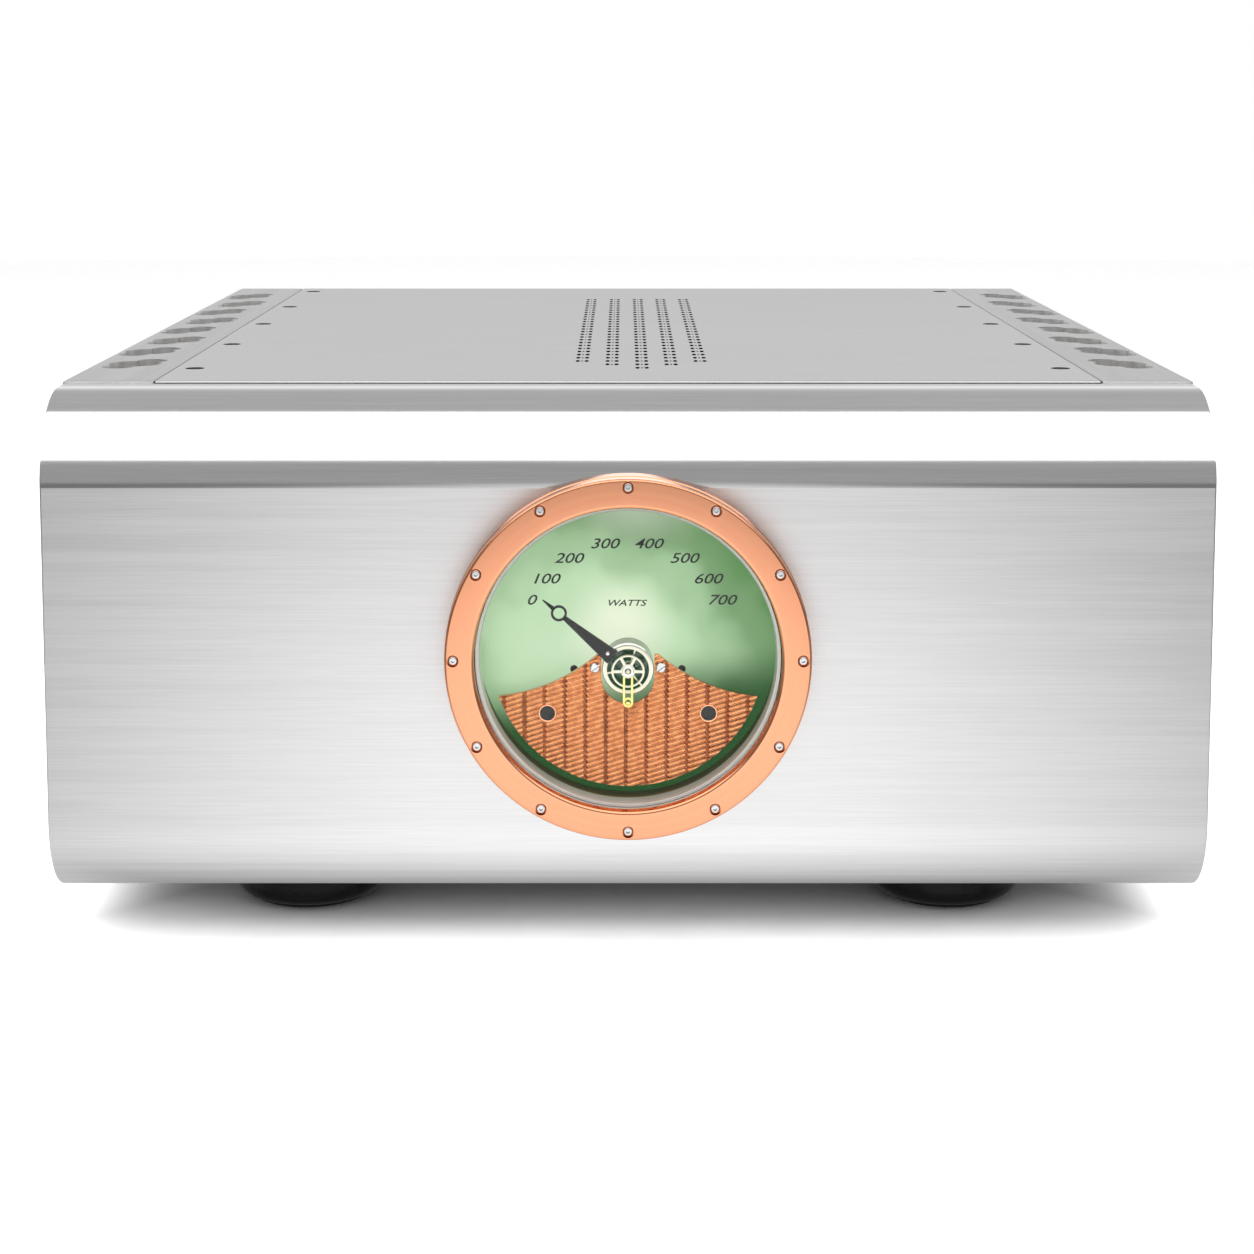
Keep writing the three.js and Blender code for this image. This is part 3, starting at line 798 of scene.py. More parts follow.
@dataclass(frozen=True)
class Glow(Finish):
    """A dial lit from behind, its backlight painted as emission: brightest a little above its pointer's axis,
    paler at its top edge, and in painted shade over its lower part.
    """

    def mixed_up(self) -> bpy.types.Material:
        """Makes the glowing dial.

        Returns:
            The new material.
        """
        recipe = Recipe(self.name)
        recipe.set(Metallic=0.0, Roughness=0.5)
        # Painted backlight: the glow fades from pale mint in the middle to dark green at the rim.
        cloud = recipe.remap(recipe.noise(Grain.EVEN, 34.0, 2.0), (0.3, 0.7), (-0.10, 0.10))
        away = recipe.math("MULTIPLY", recipe.radius(-15, AT.meter, 0.86), 1 / (68 * MM))
        wide = recipe.math("ADD", away, cloud)
        stops = [
            (0.0, (0.62, 0.80, 0.56)), (0.3, (0.54, 0.75, 0.48)), (0.55, (0.36, 0.56, 0.32)),
            (0.78, (0.17, 0.33, 0.14)), (1.0, (0.07, 0.24, 0.05)),
        ]
        body = recipe.ramp(wide, stops)
        # Painted backlight: a brighter spot a little above the pointer's axis.
        spot = recipe.remap(recipe.radius(-3, AT.meter + 7), (2 * MM, 26 * MM), (0.9, 0))
        # Painted light: the dial turns paler and greyer near its top edge.
        painted_top_light = recipe.remap(recipe.radius(4, AT.meter + 62, 0.8), (6 * MM, 28 * MM), (0.75, 0))
        grain = recipe.remap(recipe.noise(Grain.EVEN, self.scale), (0.3, 0.7), (-0.02, 0.02))
        light = recipe.mixed(recipe.math("ADD", spot, grain), body, self.light)
        light = recipe.mixed(painted_top_light, light, (0.52, 0.60, 0.46))
        # Painted shade: below its middle the dial darkens to deep green, along a line tilted a little across.
        x, _, z = recipe.axes()
        low = recipe.math("SUBTRACT", z, recipe.math("MULTIPLY", x, 0.16))
        clear_of_painted_shade = recipe.remap(low, ((AT.meter - 30) * MM, (AT.meter - 4) * MM), (0, 1))
        light = recipe.mixed(clear_of_painted_shade, (0.006, 0.075, 0.008), light)
        recipe.link(light, recipe.surface.inputs["Emission Color"])
        recipe.set(Emission_Strength=0.80)
        # The base colour takes the same painted light and shade.
        recipe.link(recipe.mixed(0.75, light, self.dark), recipe.surface.inputs["Base Color"])
        recipe.bump(recipe.noise(Grain.EVEN, self.scale), self.depth)
        return recipe.material


FACE = Finish("face_brushed", "brushed_aluminium", (0.84, 0.84, 0.845), (0.92, 0.92, 0.92), (0.38, 0.43),
              Grain.ALONG_X, 2600.0, 0.005, polish=0.12, satin_below=120.0)
# The cover's upright faces, its vent and counterbore walls, are painted dark: painted shade in the recesses.
SATIN = Finish("aluminium_satin", "satin_aluminium", (0.66, 0.655, 0.66), (0.73, 0.725, 0.725), (0.36, 0.42),
               Grain.ALONG_X, 1800.0, 0.004, painted_wall_light=0.12)
# The heat sinks' upright faces, the chimney walls among them, are painted lighter: painted light from above.
SINK = Finish("aluminium_sink", "satin_aluminium", (0.50, 0.50, 0.505), (0.58, 0.575, 0.57), (0.30, 0.36),
              Grain.ALONG_Y, 1500.0, 0.004, painted_wall_light=1.6)
PLATE = Finish("aluminium_plate", "satin_aluminium", (0.55, 0.55, 0.56), (0.64, 0.64, 0.64), (0.38, 0.48),
               Grain.EVEN, 2200.0, 0.004)
COPPER = Finish("copper_rose", "copper", (0.88, 0.37, 0.20), (0.94, 0.43, 0.25), (0.18, 0.24),
                Grain.ROUND_METER, 4200.0, 0.0025, polish=0.10)
COPPER_BRIGHT = Finish("copper_bright", "copper", (0.93, 0.42, 0.23), (0.97, 0.52, 0.32), (0.08, 0.13),
                       depth=0.001)
ENGRAVED = Finish("copper_engraved", "engraved_copper", (0.60, 0.19, 0.065), (0.86, 0.36, 0.15), (0.15, 0.22),
                  Grain.EVEN, 1600.0, 0.012, shade=300.0)
SILVER = Finish("silver_polished", "polished_silver", (0.84, 0.83, 0.81), (0.92, 0.91, 0.89), (0.08, 0.14),
                Grain.ROUND_METER, 3000.0, 0.001)
LINER = Finish("silver_liner", "polished_silver", (0.70, 0.68, 0.64), (0.86, 0.84, 0.80), (0.25, 0.35),
               Grain.ROUND_METER, 3000.0, 0.001, metal=0.35)
BARREL = Finish("barrel_dark", "polished_silver", (0.006, 0.020, 0.010), (0.012, 0.050, 0.024), (0.10, 0.16),
                depth=0.001, metal=0.0, coat=0.5)
FORK = Finish("fork_gilt", "movement_gilt", (0.80, 0.66, 0.16), (0.92, 0.82, 0.30), (0.14, 0.22), depth=0.001)
BRASS = Finish("brass_satin", "brass", (0.26, 0.13, 0.022), (0.42, 0.24, 0.05), (0.4, 0.5),
               Grain.ROUND_METER, 2400.0, 0.002, metal=0.35)
GOLD = Finish("gold_plate", "gold", (0.86, 0.60, 0.24), (0.94, 0.70, 0.32), (0.12, 0.20), depth=0.001)
GILT = Finish("movement_gilt", "movement_gilt", (0.86, 0.80, 0.46), (0.95, 0.91, 0.64), (0.16, 0.24),
              depth=0.001)
STEEL = Finish("steel_polished", "steel", (0.62, 0.62, 0.63), (0.74, 0.74, 0.74), (0.14, 0.22), depth=0.001)
# Painted light: the green that the glowing dial throws on the barrel's inside, given as a glossy green
# colour.
DIAL_LIGHT_GREEN = Finish("painted_dial_light_green", "dial", (0.002, 0.13, 0.03), (0.006, 0.30, 0.08), (0.10, 0.18),
                depth=0.001, metal=0.0, coat=0.6)
INK = Finish("needle_black", "pointer_black", (0.010, 0.010, 0.011), (0.022, 0.021, 0.021), (0.38, 0.5),
             metal=0.0)
ANODISED = Finish("foot_black", "black_metal", (0.012, 0.012, 0.013), (0.030, 0.030, 0.031), (0.30, 0.42),
                  Grain.ALONG_X, 2600.0, 0.003, metal=0.6)
RUBBER = Finish("pad_rubber", "rubber", (0.012, 0.012, 0.012), (0.028, 0.028, 0.028), (0.75, 0.9),
                scale=1800.0, depth=0.02, metal=0.0)
PLASTIC = Finish("plastic_black", "black_plastic", (0.012, 0.012, 0.012), (0.026, 0.026, 0.027), (0.42, 0.55),
                 scale=3500.0, depth=0.008, metal=0.0)
BOARD = Finish("board_green", "circuit_board", (0.015, 0.10, 0.03), (0.03, 0.18, 0.06), (0.3, 0.45),
               scale=300.0, depth=0.01, metal=0.0, coat=0.3)
VARNISH = Finish("winding_varnish", "winding_varnish", (0.16, 0.05, 0.02), (0.34, 0.14, 0.06), (0.25, 0.4),
                 Grain.ALONG_Z, 700.0, 0.3, metal=0.2, coat=0.5)
SLEEVE = Finish("can_sleeve", "sleeve", (0.02, 0.03, 0.07), (0.04, 0.06, 0.12), (0.2, 0.3),
                metal=0.0, coat=0.4)
PANE = Glass("meter_pane", "glass", (1.0, 1.0, 1.0), (0.985, 1.0, 0.992), (0.0, 0.012), scale=140.0)
# The dial's backlight is painted as emission, with a painted bright spot, a paler top and a shaded lower
# part.
DIAL = Glow("dial_mint", "dial", (0.02, 0.05, 0.02), (0.90, 0.95, 0.74), (0.5, 0.5),
            scale=2600.0, depth=0.004)


def deliver(piece: bpy.types.Object, finish: Finish, body: str = ROOT,
            nodes: Sequence[str] = ()) -> bpy.types.Object:
    """Dresses a finished piece and hands it over to the frame.

    Args:
        piece: the finished mesh.
        finish: its finish.
        body: the body that it moves with.
        nodes: the frame's nodes that it stands for.

    Returns:
        The piece.
    """
    piece.data.materials.clear()
    piece.data.materials.append(finish.material())
    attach(piece, body)
    if nodes:
        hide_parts(*nodes)
    log.info("%s: %s, on %s", piece.name, finish.name, body)
    return piece


def scatter(master: bpy.types.Object, stem: str, places: dict[str, Point], finish: Finish,
            node_stem: str | None = None) -> None:
    """Sets a copy of a piece at each place, and uses the piece up.

    Args:
        master: the piece, drawn round the origin.
        stem: what the copies' names start with.
        places: where each copy goes, by the end of its name.
        finish: the copies' finish.
        node_stem: what the names of the nodes that they stand for start with, if there are any.
    """
    for end, place in places.items():
        nodes = [] if node_stem is None else [node_stem + end]
        deliver(copied(master, stem + end, place), finish, nodes=nodes)
    bpy.data.objects.remove(master, do_unlink=True)


def carry(node: str, finish: Finish) -> None:
    """Keeps a node's own shape and gives it a finish.

    Args:
        node: the node's name.
        finish: its finish.
    """
    shape = frame["nodes"][node]
    for place in shape.material_slots:
        place.link = "OBJECT"
        place.material = finish.material()
    log.info("%s: kept, %s", node, finish.name)


def socket_screw(name: str, head: float, height: float, key: float, top: float) -> bpy.types.Object:
    """A domed screw head with a hexagonal socket, upright at the origin.

    Args:
        name: the piece's name.
        head: the head's radius.
        height: the head's height.
        key: the socket's radius.
        top: the height of the head's top.

    Returns:
        The screw head.
    """
    dome = [
        (head, top - height), (head, top - 0.45 * height), (0.93 * head, top - 0.2 * height),
        (0.78 * head, top - 0.05 * height), (0.62 * head, top),
    ]
    piece = turned(name, dome, (0, 0, 0), Axis.Z, 32)
    socket = turned("key", [(key, top - 0.55 * height), (key, top + 1)], (0, 0, 0), Axis.Z, 6)
    return smooth(combine(piece, socket))


# ---------------------------------------------------------------- casing
@dataclass
class FrontPanel:
    """The thick face with its big rounds above and below, hollow behind."""

    depth: float = 45.0
    step: float = 1.0
    top_round: float = 35.0
    bottom_round: float = 32.0
    wall: float = 10.0
    porthole: float = 61.6
    button_bore: float = 4.8
    button_setback: float = 38.5
    end_edge: float = 0.7
    segments: int = 28

    def build(self) -> None:
        """Makes the panel."""
        panel = self.shell()
        self.hollow(panel)
        hole = rod("hole", self.porthole, (-5, 20), (0, AT.face, AT.meter), Axis.Y, 128)
        bore = rod("bore", self.button_bore, (-5, 15), (0, AT.face + self.button_setback, AT.base), Axis.Z)
        combine(combine(panel, hole), bore)
        deliver(smooth(panel, 25), FACE, nodes=["front_panel"])

    def shell(self) -> bpy.types.Object:
        """The outside: a block whose long front edges are rounded.

        Returns:
            The panel, still solid.
        """
        top = AT.top - self.step
        low = (-AT.half_width, AT.face, AT.base)
        panel = block("panel", low, (AT.half_width, AT.face + self.depth, top))
        for height, size in ((top, self.top_round), (AT.base, self.bottom_round)):
            with editing(panel):
                pick(panel, Part.EDGES, lambda at, way: near(at.y, AT.face) and near(at.z, height))
                bpy.ops.mesh.bevel(
                    offset=size * MM, segments=self.segments, affect="EDGES", clamp_overlap=False,
                )
        with editing(panel):
            pick(panel, Part.EDGES, lambda at, way: near(abs(at.x), AT.half_width) and abs(way.x) < 0.5)
            bpy.ops.mesh.bevel(offset=self.end_edge * MM, segments=3, affect="EDGES")
            for height in (top - self.top_round, AT.base + self.bottom_round):
                pick(panel, Part.EDGES, lambda at, way: near(at.y, AT.face) and near(at.z, height, 0.1))
                bpy.ops.mesh.mark_sharp()
        return panel

    def hollow(self, panel: bpy.types.Object) -> None:
        """Hollows the panel from behind, with its inner edges rounded as its outer ones.

        Args:
            panel: the solid panel.
        """
        top = AT.top - self.step - self.wall
        front = AT.face + self.wall
        with editing(panel):
            pick(panel, Part.FACES, lambda at, way: way.y > 0.99)
            bpy.ops.mesh.inset(thickness=self.wall * MM)
            reach = (self.wall - self.depth) * MM
            bpy.ops.mesh.extrude_region_move(TRANSFORM_OT_translate={"value": (0, reach, 0)})
            for height, size in ((top, self.top_round), (AT.base + self.wall, self.bottom_round)):
                pick(panel, Part.EDGES,
                     lambda at, way: near(at.y, front) and near(at.z, height) and abs(way.x) > 0.9)
                bpy.ops.mesh.bevel(offset=(size - self.wall) * MM, segments=12, affect="EDGES")


@dataclass
class TopCover:
    """The cover plate with its five strips of vents and ten screws."""

    thickness: float = 4.0
    seam: float = 0.8
    sink: float = 36.0
    front_edge: float = 0.95
    vent: tuple[float, float] = (0.95, 3.7)
    pitch: float = 13.3
    last: float = 446.0
    column: float = 1.9
    middle_share: float = 0.5
    strips: tuple[tuple[float, float], ...] = (
        (6.0, 94), (-6.6, 107.3), (18.4, 107.3), (-19.4, 120.6), (31.0, 120.6),
    )
    screw_depths: tuple[float, ...] = (92, 193, 294, 394, 498)
    screw_inset: float = 8.0
    screw_sink: float = 0.45
    screw_hole: float = 2.2
    counterbore: float = 4.0
    seat_depth: float = 2.2

    def build(self) -> None:
        """Makes the cover and its screws."""
        edge = AT.half_width - self.sink - self.seam
        cover = block("cover", (-edge, AT.chassis, AT.top - self.thickness), (edge, AT.rear, AT.top))
        with editing(cover):
            pick(cover, Part.EDGES, lambda at, way: near(at.y, AT.chassis) and near(at.z, AT.top))
            bpy.ops.mesh.bevel(offset=self.front_edge * MM, segments=4, affect="EDGES")
        combine(cover, merged("vents", self.vents()))
        across = edge - self.screw_inset
        places = [(side * across, AT.face + depth) for side in (-1, 1) for depth in self.screw_depths]
        combine(cover, merged("seats", [self.seat(x, y) for x, y in places]))
        deliver(smooth(cover, 25), SATIN, nodes=["top_cover"])
        heads = {f"{count:02d}": (*place, AT.top - self.screw_sink) for count, place in enumerate(places, 1)}
        scatter(socket_screw("cover_screw", 3.5, 1.7, 1.5, 0), "cover_screw_", heads, STEEL)

    def vents(self) -> list[bpy.types.Object]:
        """The cutters for the vents, a row for each column of holes.

        Returns:
            The rows.
        """
        rows = []
        across, along = self.vent
        for x, first in self.strips:
            count = int((self.last - first) / self.pitch) + 1
            for shift, share in ((-self.column, 1.0), (0.0, self.middle_share), (self.column, 1.0)):
                hole = rod("vent", 1.0, (-9, 3), (0, 0, 0), Axis.Z, 10)
                place = (x + shift, AT.face + first, AT.top)
                placed(hole, place, size=(across * share, along * share, 1))
                rows.append(repeated(hole, count, (0, self.pitch, 0)))
        return rows

    def seat(self, x: float, y: float) -> bpy.types.Object:
        """A cutter for one screw's counterbore.

        Args:
            x: its place across.
            y: its place along.

        Returns:
            The cutter.
        """
        hole, bore, floor = self.screw_hole, self.counterbore, AT.top - self.seat_depth
        shape = [(hole, AT.top - 6), (hole, floor), (bore, floor), (bore, AT.top + 1)]
        return turned("seat", shape, (x, y, 0), Axis.Z, 40)


@dataclass
class HeatSink:
    """A side bar pierced from top to bottom by its chimneys."""

    side: int
    name: str
    width: float = 36.0
    first: float = 110.0
    pitch: float = 50.4
    bore: float = 11.0
    lobe: float = 6.5
    along: float = 12.0
    across: float = 5.0
    insets: tuple[float, float] = (16.5, 13.5)
    ledge_width: float = 14.5
    ledge_height: float = 16.0
    ledge_inset: float = 4.3

    def build(self) -> None:
        """Makes the bar."""
        edges = sorted((self.side * (AT.half_width - self.width), self.side * AT.half_width))
        bar = block("sink_" + self.name, (edges[0], AT.chassis, AT.base), (edges[1], AT.rear, AT.top))
        with editing(bar):
            pick(bar, Part.EDGES, lambda at, way: abs(way.y) > 0.9 or abs(way.x) > 0.9)
            bpy.ops.mesh.bevel(offset=0.5 * MM, segments=2, affect="EDGES")
        for start, inset in enumerate(self.insets):
            x = self.side * (AT.half_width - inset)
            combine(bar, self.chimneys(x, AT.face + self.first + start * self.pitch))
        self.ledges(bar)
        deliver(soften(bar, 0.45, 2, 50), SINK, nodes=["heat_sink_" + self.name])

    def chimneys(self, x: float, y: float) -> bpy.types.Object:
        """Every other chimney as one cutter.

        Args:
            x: the bores' place across.
            y: the first one's place along.

        Returns:
            The cutter.
        """
        ends = (AT.base - 2, AT.top + 2)
        cutter = rod("chimney", self.bore, ends, (x, y, 0), Axis.Z, 64)
        for end in (-1, 1):
            place = (x - end * self.side * self.across, y + end * self.along, 0)
            combine(cutter, rod("lobe", self.lobe, ends, place, Axis.Z, 44), Join.ADD)
        return repeated(cutter, 4, (0, 2 * self.pitch, 0))

    def ledges(self, bar: bpy.types.Object) -> None:
        """Adds the two ledges inside that carry the cover and the bottom plate.

        Args:
            bar: the pierced bar.
        """
        inner = self.side * (AT.half_width - self.width)
        across = sorted((inner - self.side * self.ledge_width, inner + self.side * 0.5))
        reach = self.ledge_inset + self.ledge_height
        for low in (AT.top - reach, AT.base + self.ledge_inset):
            high = low + self.ledge_height
            ledge = block("ledge", (across[0], AT.chassis + 0.5, low), (across[1], AT.rear - 4.8, high))
            combine(bar, ledge, Join.ADD)


@dataclass
class Feet:
    """Four turned feet with their rubber pads."""

    radius: float = 32.0
    lip: float = 7.5
    lip_height: float = 9.2
    gap: float = 0.3
    inset: float = 96.0
    x: float = 135.0

    def build(self) -> None:
        """Makes the feet and pads."""
        top = AT.base - self.gap
        turns = [math.radians(turn) for turn in range(-75, 1, 5)]
        lower = [
            (self.radius - self.lip + self.lip * math.cos(turn), self.lip_height + self.lip * math.sin(turn))
            for turn in turns
        ]
        shape = [(25, 6), (25, 2.2), (25.3, 1.97), *lower, (self.radius, top - 0.8),
                 (self.radius - 0.8, top), (4, top), (4, AT.base + 11)]
        pad = [(23.4, 0), (24.2, 0.35), (24.6, 1.2), (24.6, 5.7)]
        ends = {"front": AT.face + self.inset, "rear": AT.rear - self.inset}
        sides = {"left": -self.x, "right": self.x}
        places = {f"{end}_{side}": (x, y, 0) for end, y in ends.items() for side, x in sides.items()}
        scatter(smooth(turned("foot", shape, (0, 0, 0))), "turned_foot_", places, ANODISED, "foot_")
        scatter(smooth(turned("foot_pad", pad, (0, 0, 0))), "turned_pad_", places, RUBBER, "foot_pad_")


# ---------------------------------------------------------------- meter
@dataclass
class Porthole:
    """The copper ring with its screws, the glass, its retainer and the cup behind."""

    inner: float = 58.5
    outer: float = 70.0
    proud: float = 15.3
    screws: int = 12
    circle: float = 66.5
    screw_sink: float = 0.7
    shank: float = 20.0

    def build(self) -> None:
        """Makes the porthole's pieces."""
        self.ring()
        self.fasteners()
        centre = (0, AT.face, AT.meter)
        pane = turned("pane", [(57.9, -12.3), (58.1, -12.1), (58.1, -9.5), (57.9, -9.3)], centre, Axis.Y, 128)
        pane.visible_shadow = False
        deliver(smooth(pane), PANE, nodes=["meter_glass"])
        band = [(57.0, -9), (58.1, -9), (58.1, -0.6), (57.0, -0.6), (56.7, -1.2), (56.7, -8.4)]
        retainer = turned("retaining_ring", band, centre, Axis.Y, 128, True)
        deliver(smooth(retainer), LINER, nodes=["glass_retainer"])
        cup = [(58.4, 17.4), (58.4, 0.2), (61.3, 0.2), (61.3, 10.3), (64.8, 10.3), (64.8, 12.8), (61.3, 12.8),
               (61.3, 20), (4, 20), (4, 17.4)]
        deliver(smooth(turned("cup", cup, centre, Axis.Y, 128, True)), BRASS, nodes=["meter_housing"])

    def ring(self) -> None:
        """Makes the ring with its double step, its polished edges and its counterbores."""
        front = -self.proud
        shape = [
            (self.inner, -0.3), (self.outer, -0.3), (self.outer, -7.6), (69.5, -8.1), (68.9, -8.3),
            (68.9, -9.0), (69.3, -9.3), (69.8, -9.7), (69.8, front + 1.0), (69.62, front + 0.4),
            (69.2, front + 0.1), (68.7, front), (59.9, front), (59.3, front + 0.12), (58.8, front + 0.5),
            (self.inner, front + 1.1),
        ]
        piece = turned("ring", shape, (0, AT.face, AT.meter), Axis.Y, 160, True)
        ends = (front - 2, front + 3)
        seats = [rod("seat", 2.3, ends, (x, AT.face, z), Axis.Y, 28) for x, z in self.places()]
        combine(piece, merged("seats", seats))
        deliver(smooth(piece, 40), COPPER, nodes=["meter_bezel"])

    def places(self) -> list[tuple[float, float]]:
        """Where the screws are.

        Returns:
            The place across and the height of each.
        """
        turns = [count * 2 * math.pi / self.screws for count in range(self.screws)]
        return [(self.circle * math.sin(turn), AT.meter + self.circle * math.cos(turn)) for turn in turns]

    def fasteners(self) -> None:
        """Makes the ring's screws."""
        master = socket_screw("ring_screw", 1.95, 1.8, 0.85, 0)
        with editing(master):
            pick(master, Part.FACES, lambda at, way: way.z < -0.99)
            bpy.ops.mesh.inset(thickness=0.85 * MM)
            bpy.ops.mesh.extrude_region_move(TRANSFORM_OT_translate={"value": (0, 0, -self.shank * MM)})
        y = AT.face - self.proud + self.screw_sink
        heads = {f"{count:02d}": (x, y, z) for count, (x, z) in enumerate(self.places(), 1)}
        scatter(placed(master, turn=FORWARDS), "ring_screw_", heads, STEEL, "bezel_screw_")


@dataclass
class Dial:
    """The glowing dial with its numbers."""

    depth: float = 12.0
    height: float = 5.6
    radius: float = 41.2
    widen: float = 1.34
    unit_height: float = 3.4
    unit_rise: float = 17.0
    screw_x: float = 21.0
    screw_drop: float = 9.0
    numbers: tuple[tuple[str, float], ...] = (
        ("0", -63.9), ("100", -50.0), ("200", -32.9), ("300", -11.9),
        ("400", 11.9), ("500", 32.9), ("600", 50.0), ("700", 63.9),
    )

    def build(self) -> None:
        """Makes the dial and its lettering."""
        ends = (self.depth, self.depth + 2)
        disc = rod("dial_disc", 58.0, ends, (0, AT.face, AT.meter), Axis.Y, 128)
        deliver(soften(disc, 0.2), DIAL, nodes=["dial_plate"])
        for text, turn in self.numbers:
            place = math.radians(turn)
            x, z = self.radius * math.sin(place), AT.meter + self.radius * math.cos(place)
            self.lettering("number_" + text, text, self.height, x, z)
        self.lettering("unit", "WATTS", self.unit_height, 0, AT.meter + self.unit_rise)
        y, z = AT.face + self.depth - 0.8, AT.meter - self.screw_drop
        heads = {"left": (-self.screw_x, y, z), "right": (self.screw_x, y, z)}
        master = placed(socket_screw("dial_screw", 1.5, 0.9, 0.6, 0), turn=FORWARDS)
        scatter(master, "dial_screw_", heads, INK)

    def lettering(self, name: str, text: str, height: float, x: float, z: float) -> None:
        """Prints one word or number on the dial.

        Args:
            name: the piece's name.
            text: what it says.
            height: the lettering's size.
            x: the middle's place across.
            z: the middle's height.
        """
        bpy.ops.object.select_all(action="DESELECT")
        bpy.ops.object.text_add(location=(0, 0, 0))
        letters = bpy.context.object
        letters.data.body = text
        letters.data.size = height * MM
        letters.data.align_x = "CENTER"
        letters.data.align_y = "CENTER"
        letters.data.shear = 0.3
        letters.data.space_character = 0.98
        letters.data.offset = 0.035 * MM
        letters.data.extrude = 0.06 * MM
        letters.data.resolution_u = 3
        bpy.ops.object.convert(target="MESH")
        place = (x - 0.8, AT.face + self.depth - 0.07, z)
        deliver(placed(named(name), place, FORWARDS, (self.widen, 1, 1)), INK)


@dataclass
class SectorPlate:
    """The engine-turned copper plate in front of the dial."""

    outer: float = 52.8
    front: float = 1.0
    thickness: float = 2.5
    edge_radius: float = 67.3
    edge_x: float = 56.1
    edge_z: float = 49.7
    cut_radius: float = 10.2
    cut_z: float = -10.0
    hole: float = 3.1
    hole_x: float = 31.1
    hole_z: float = -24.0
    column: float = 7.85
    row: float = 2.0
    relief: float = 0.42
    climb: float = 0.8
    chip: float = 1.7
    cell: tuple[float, float] = (0.33, 0.2)
    screw_x: float = 12.7
    screw_drop: float = 6.0

    def build(self) -> None:
        """Makes the plate, its eyelets and its screws."""
        plate = self.outline()
        combine(plate, self.waves(), Join.KEEP)
        deliver(smooth(plate, 42), ENGRAVED, nodes=["sector_plate"])
        front = self.front - 0.15
        for side, name in ((-1, "left"), (1, "right")):
            centre = (side * self.hole_x, AT.face, AT.meter + self.hole_z)
            shape = [
                (3.05, 3.4), (2.85, 3.4), (2.85, front + 0.15), (3.0, front), (3.35, front),
                (3.5, front + 0.2), (3.5, front + 0.7), (3.05, front + 0.7),
            ]
            deliver(smooth(turned("eyelet_" + name, shape, centre, Axis.Y, 64, True)), COPPER_BRIGHT)
            cup = [(2.8, 1.2), (2.8, 3.4), (2.3, 3.4), (2.3, 2.6), (0.6, 2.6), (0.6, 3.0), (0.3, 3.0)]
            deliver(smooth(turned("eyelet_cup_" + name, cup, centre, Axis.Y, 48)), INK)
            self.screw(side * self.screw_x, name)

    def outline(self) -> bpy.types.Object:
        """The plate's blank: a disc cut by two big arcs, the notch and two holes.

        Returns:
            The blank.
        """
        ends = (self.front - 0.5, self.front + self.thickness)
        centre = (0, AT.face, AT.meter)
        plate = rod("engraved_plate", self.outer, ends, centre, Axis.Y, 224)
        reach = (ends[0] - 3, ends[1] + 3)
        for side in (-1, 1):
            away = (side * self.edge_x, AT.face, AT.meter + self.edge_z)
            combine(plate, rod("arc", self.edge_radius, reach, away, Axis.Y, 256))
            spot = (side * self.hole_x, AT.face, AT.meter + self.hole_z)
            combine(plate, rod("spot", self.hole, reach, spot, Axis.Y, 64))
        combine(plate, rod("notch", self.cut_radius, reach, (0, AT.face, AT.meter + self.cut_z), Axis.Y, 96))
        low = (-self.cut_radius, AT.face + reach[0], AT.meter + self.cut_z)
        combine(plate, block("slot", low, (self.cut_radius, AT.face + reach[1], AT.meter + 40)))
        return plate

    def waves(self) -> bpy.types.Object:
        """A block whose front is cut in rows that climb across each column and fall at its end.

        Returns:
            The block.
        """
        width, low, high = self.outer + 1, -self.outer - 1, -1.0
        counts = [round(2 * width / self.cell[0]), round((high - low) / self.cell[1])]
        bpy.ops.object.select_all(action="DESELECT")
        middle = Vector((0, AT.face + self.front, AT.meter + (low + high) / 2)) * MM
        bpy.ops.mesh.primitive_grid_add(
            x_subdivisions=counts[0], y_subdivisions=counts[1], size=1, location=middle,
            rotation=(math.pi / 2, 0, 0),
        )
        sheet = named("waves")
        sheet.scale = (2 * width * MM, (high - low) * MM, 1)
        settle(sheet)
        places = np.empty(len(sheet.data.vertices) * 3)
        sheet.data.vertices.foreach_get("co", places)
        places = places.reshape(-1, 3)
        across = (places[:, 0] / MM / self.column) % 1.0
        climbing = across < self.climb
        rise = np.where(climbing, across / self.climb, (1 - across) / (1 - self.climb)) * self.row
        share = ((places[:, 2] / MM - rise) / self.row) % 1.0
        groove = (0.5 - 0.5 * np.cos(2 * math.pi * share)) ** 1.2 * self.relief
        chip = np.clip(share / 0.6, 0, 1) * self.relief * self.chip
        places[:, 1] += np.where(climbing, groove, chip) * MM
        sheet.data.vertices.foreach_set("co", places.ravel())
        with editing(sheet):
            bpy.ops.mesh.select_all(action="SELECT")
            bpy.ops.mesh.extrude_region_move(TRANSFORM_OT_translate={"value": (0, 6 * MM, 0)})
            bpy.ops.mesh.select_all(action="SELECT")
            bpy.ops.mesh.normals_make_consistent(inside=False)
        return sheet

    def screw(self, x: float, name: str) -> None:
        """A slotted screw over one of the plate's pillars, and the pillar.

        Args:
            x: its place across.
            name: which side it is on.
        """
        z = AT.meter - self.screw_drop
        front = self.front - 1.3
        head = turned("plate_screw_" + name, [(1.9, front + 1.5), (1.9, front + 0.35), (1.5, front)],
                      (x, AT.face, z), Axis.Y, 40)
        slot = block("slot", (-3, front - 1, -0.4), (3, front + 0.8, 0.4))
        placed(slot, (x, AT.face, z), (0, math.radians(-35), 0))
        deliver(smooth(combine(head, slot)), STEEL)
        pillar = turned("plate_pillar_" + name, [(2.0, 3.7), (1.8, 4.0), (1.8, 11.4), (2.0, 11.7)],
                        (x, AT.face, z), Axis.Y, 32)
        deliver(smooth(pillar), SILVER)


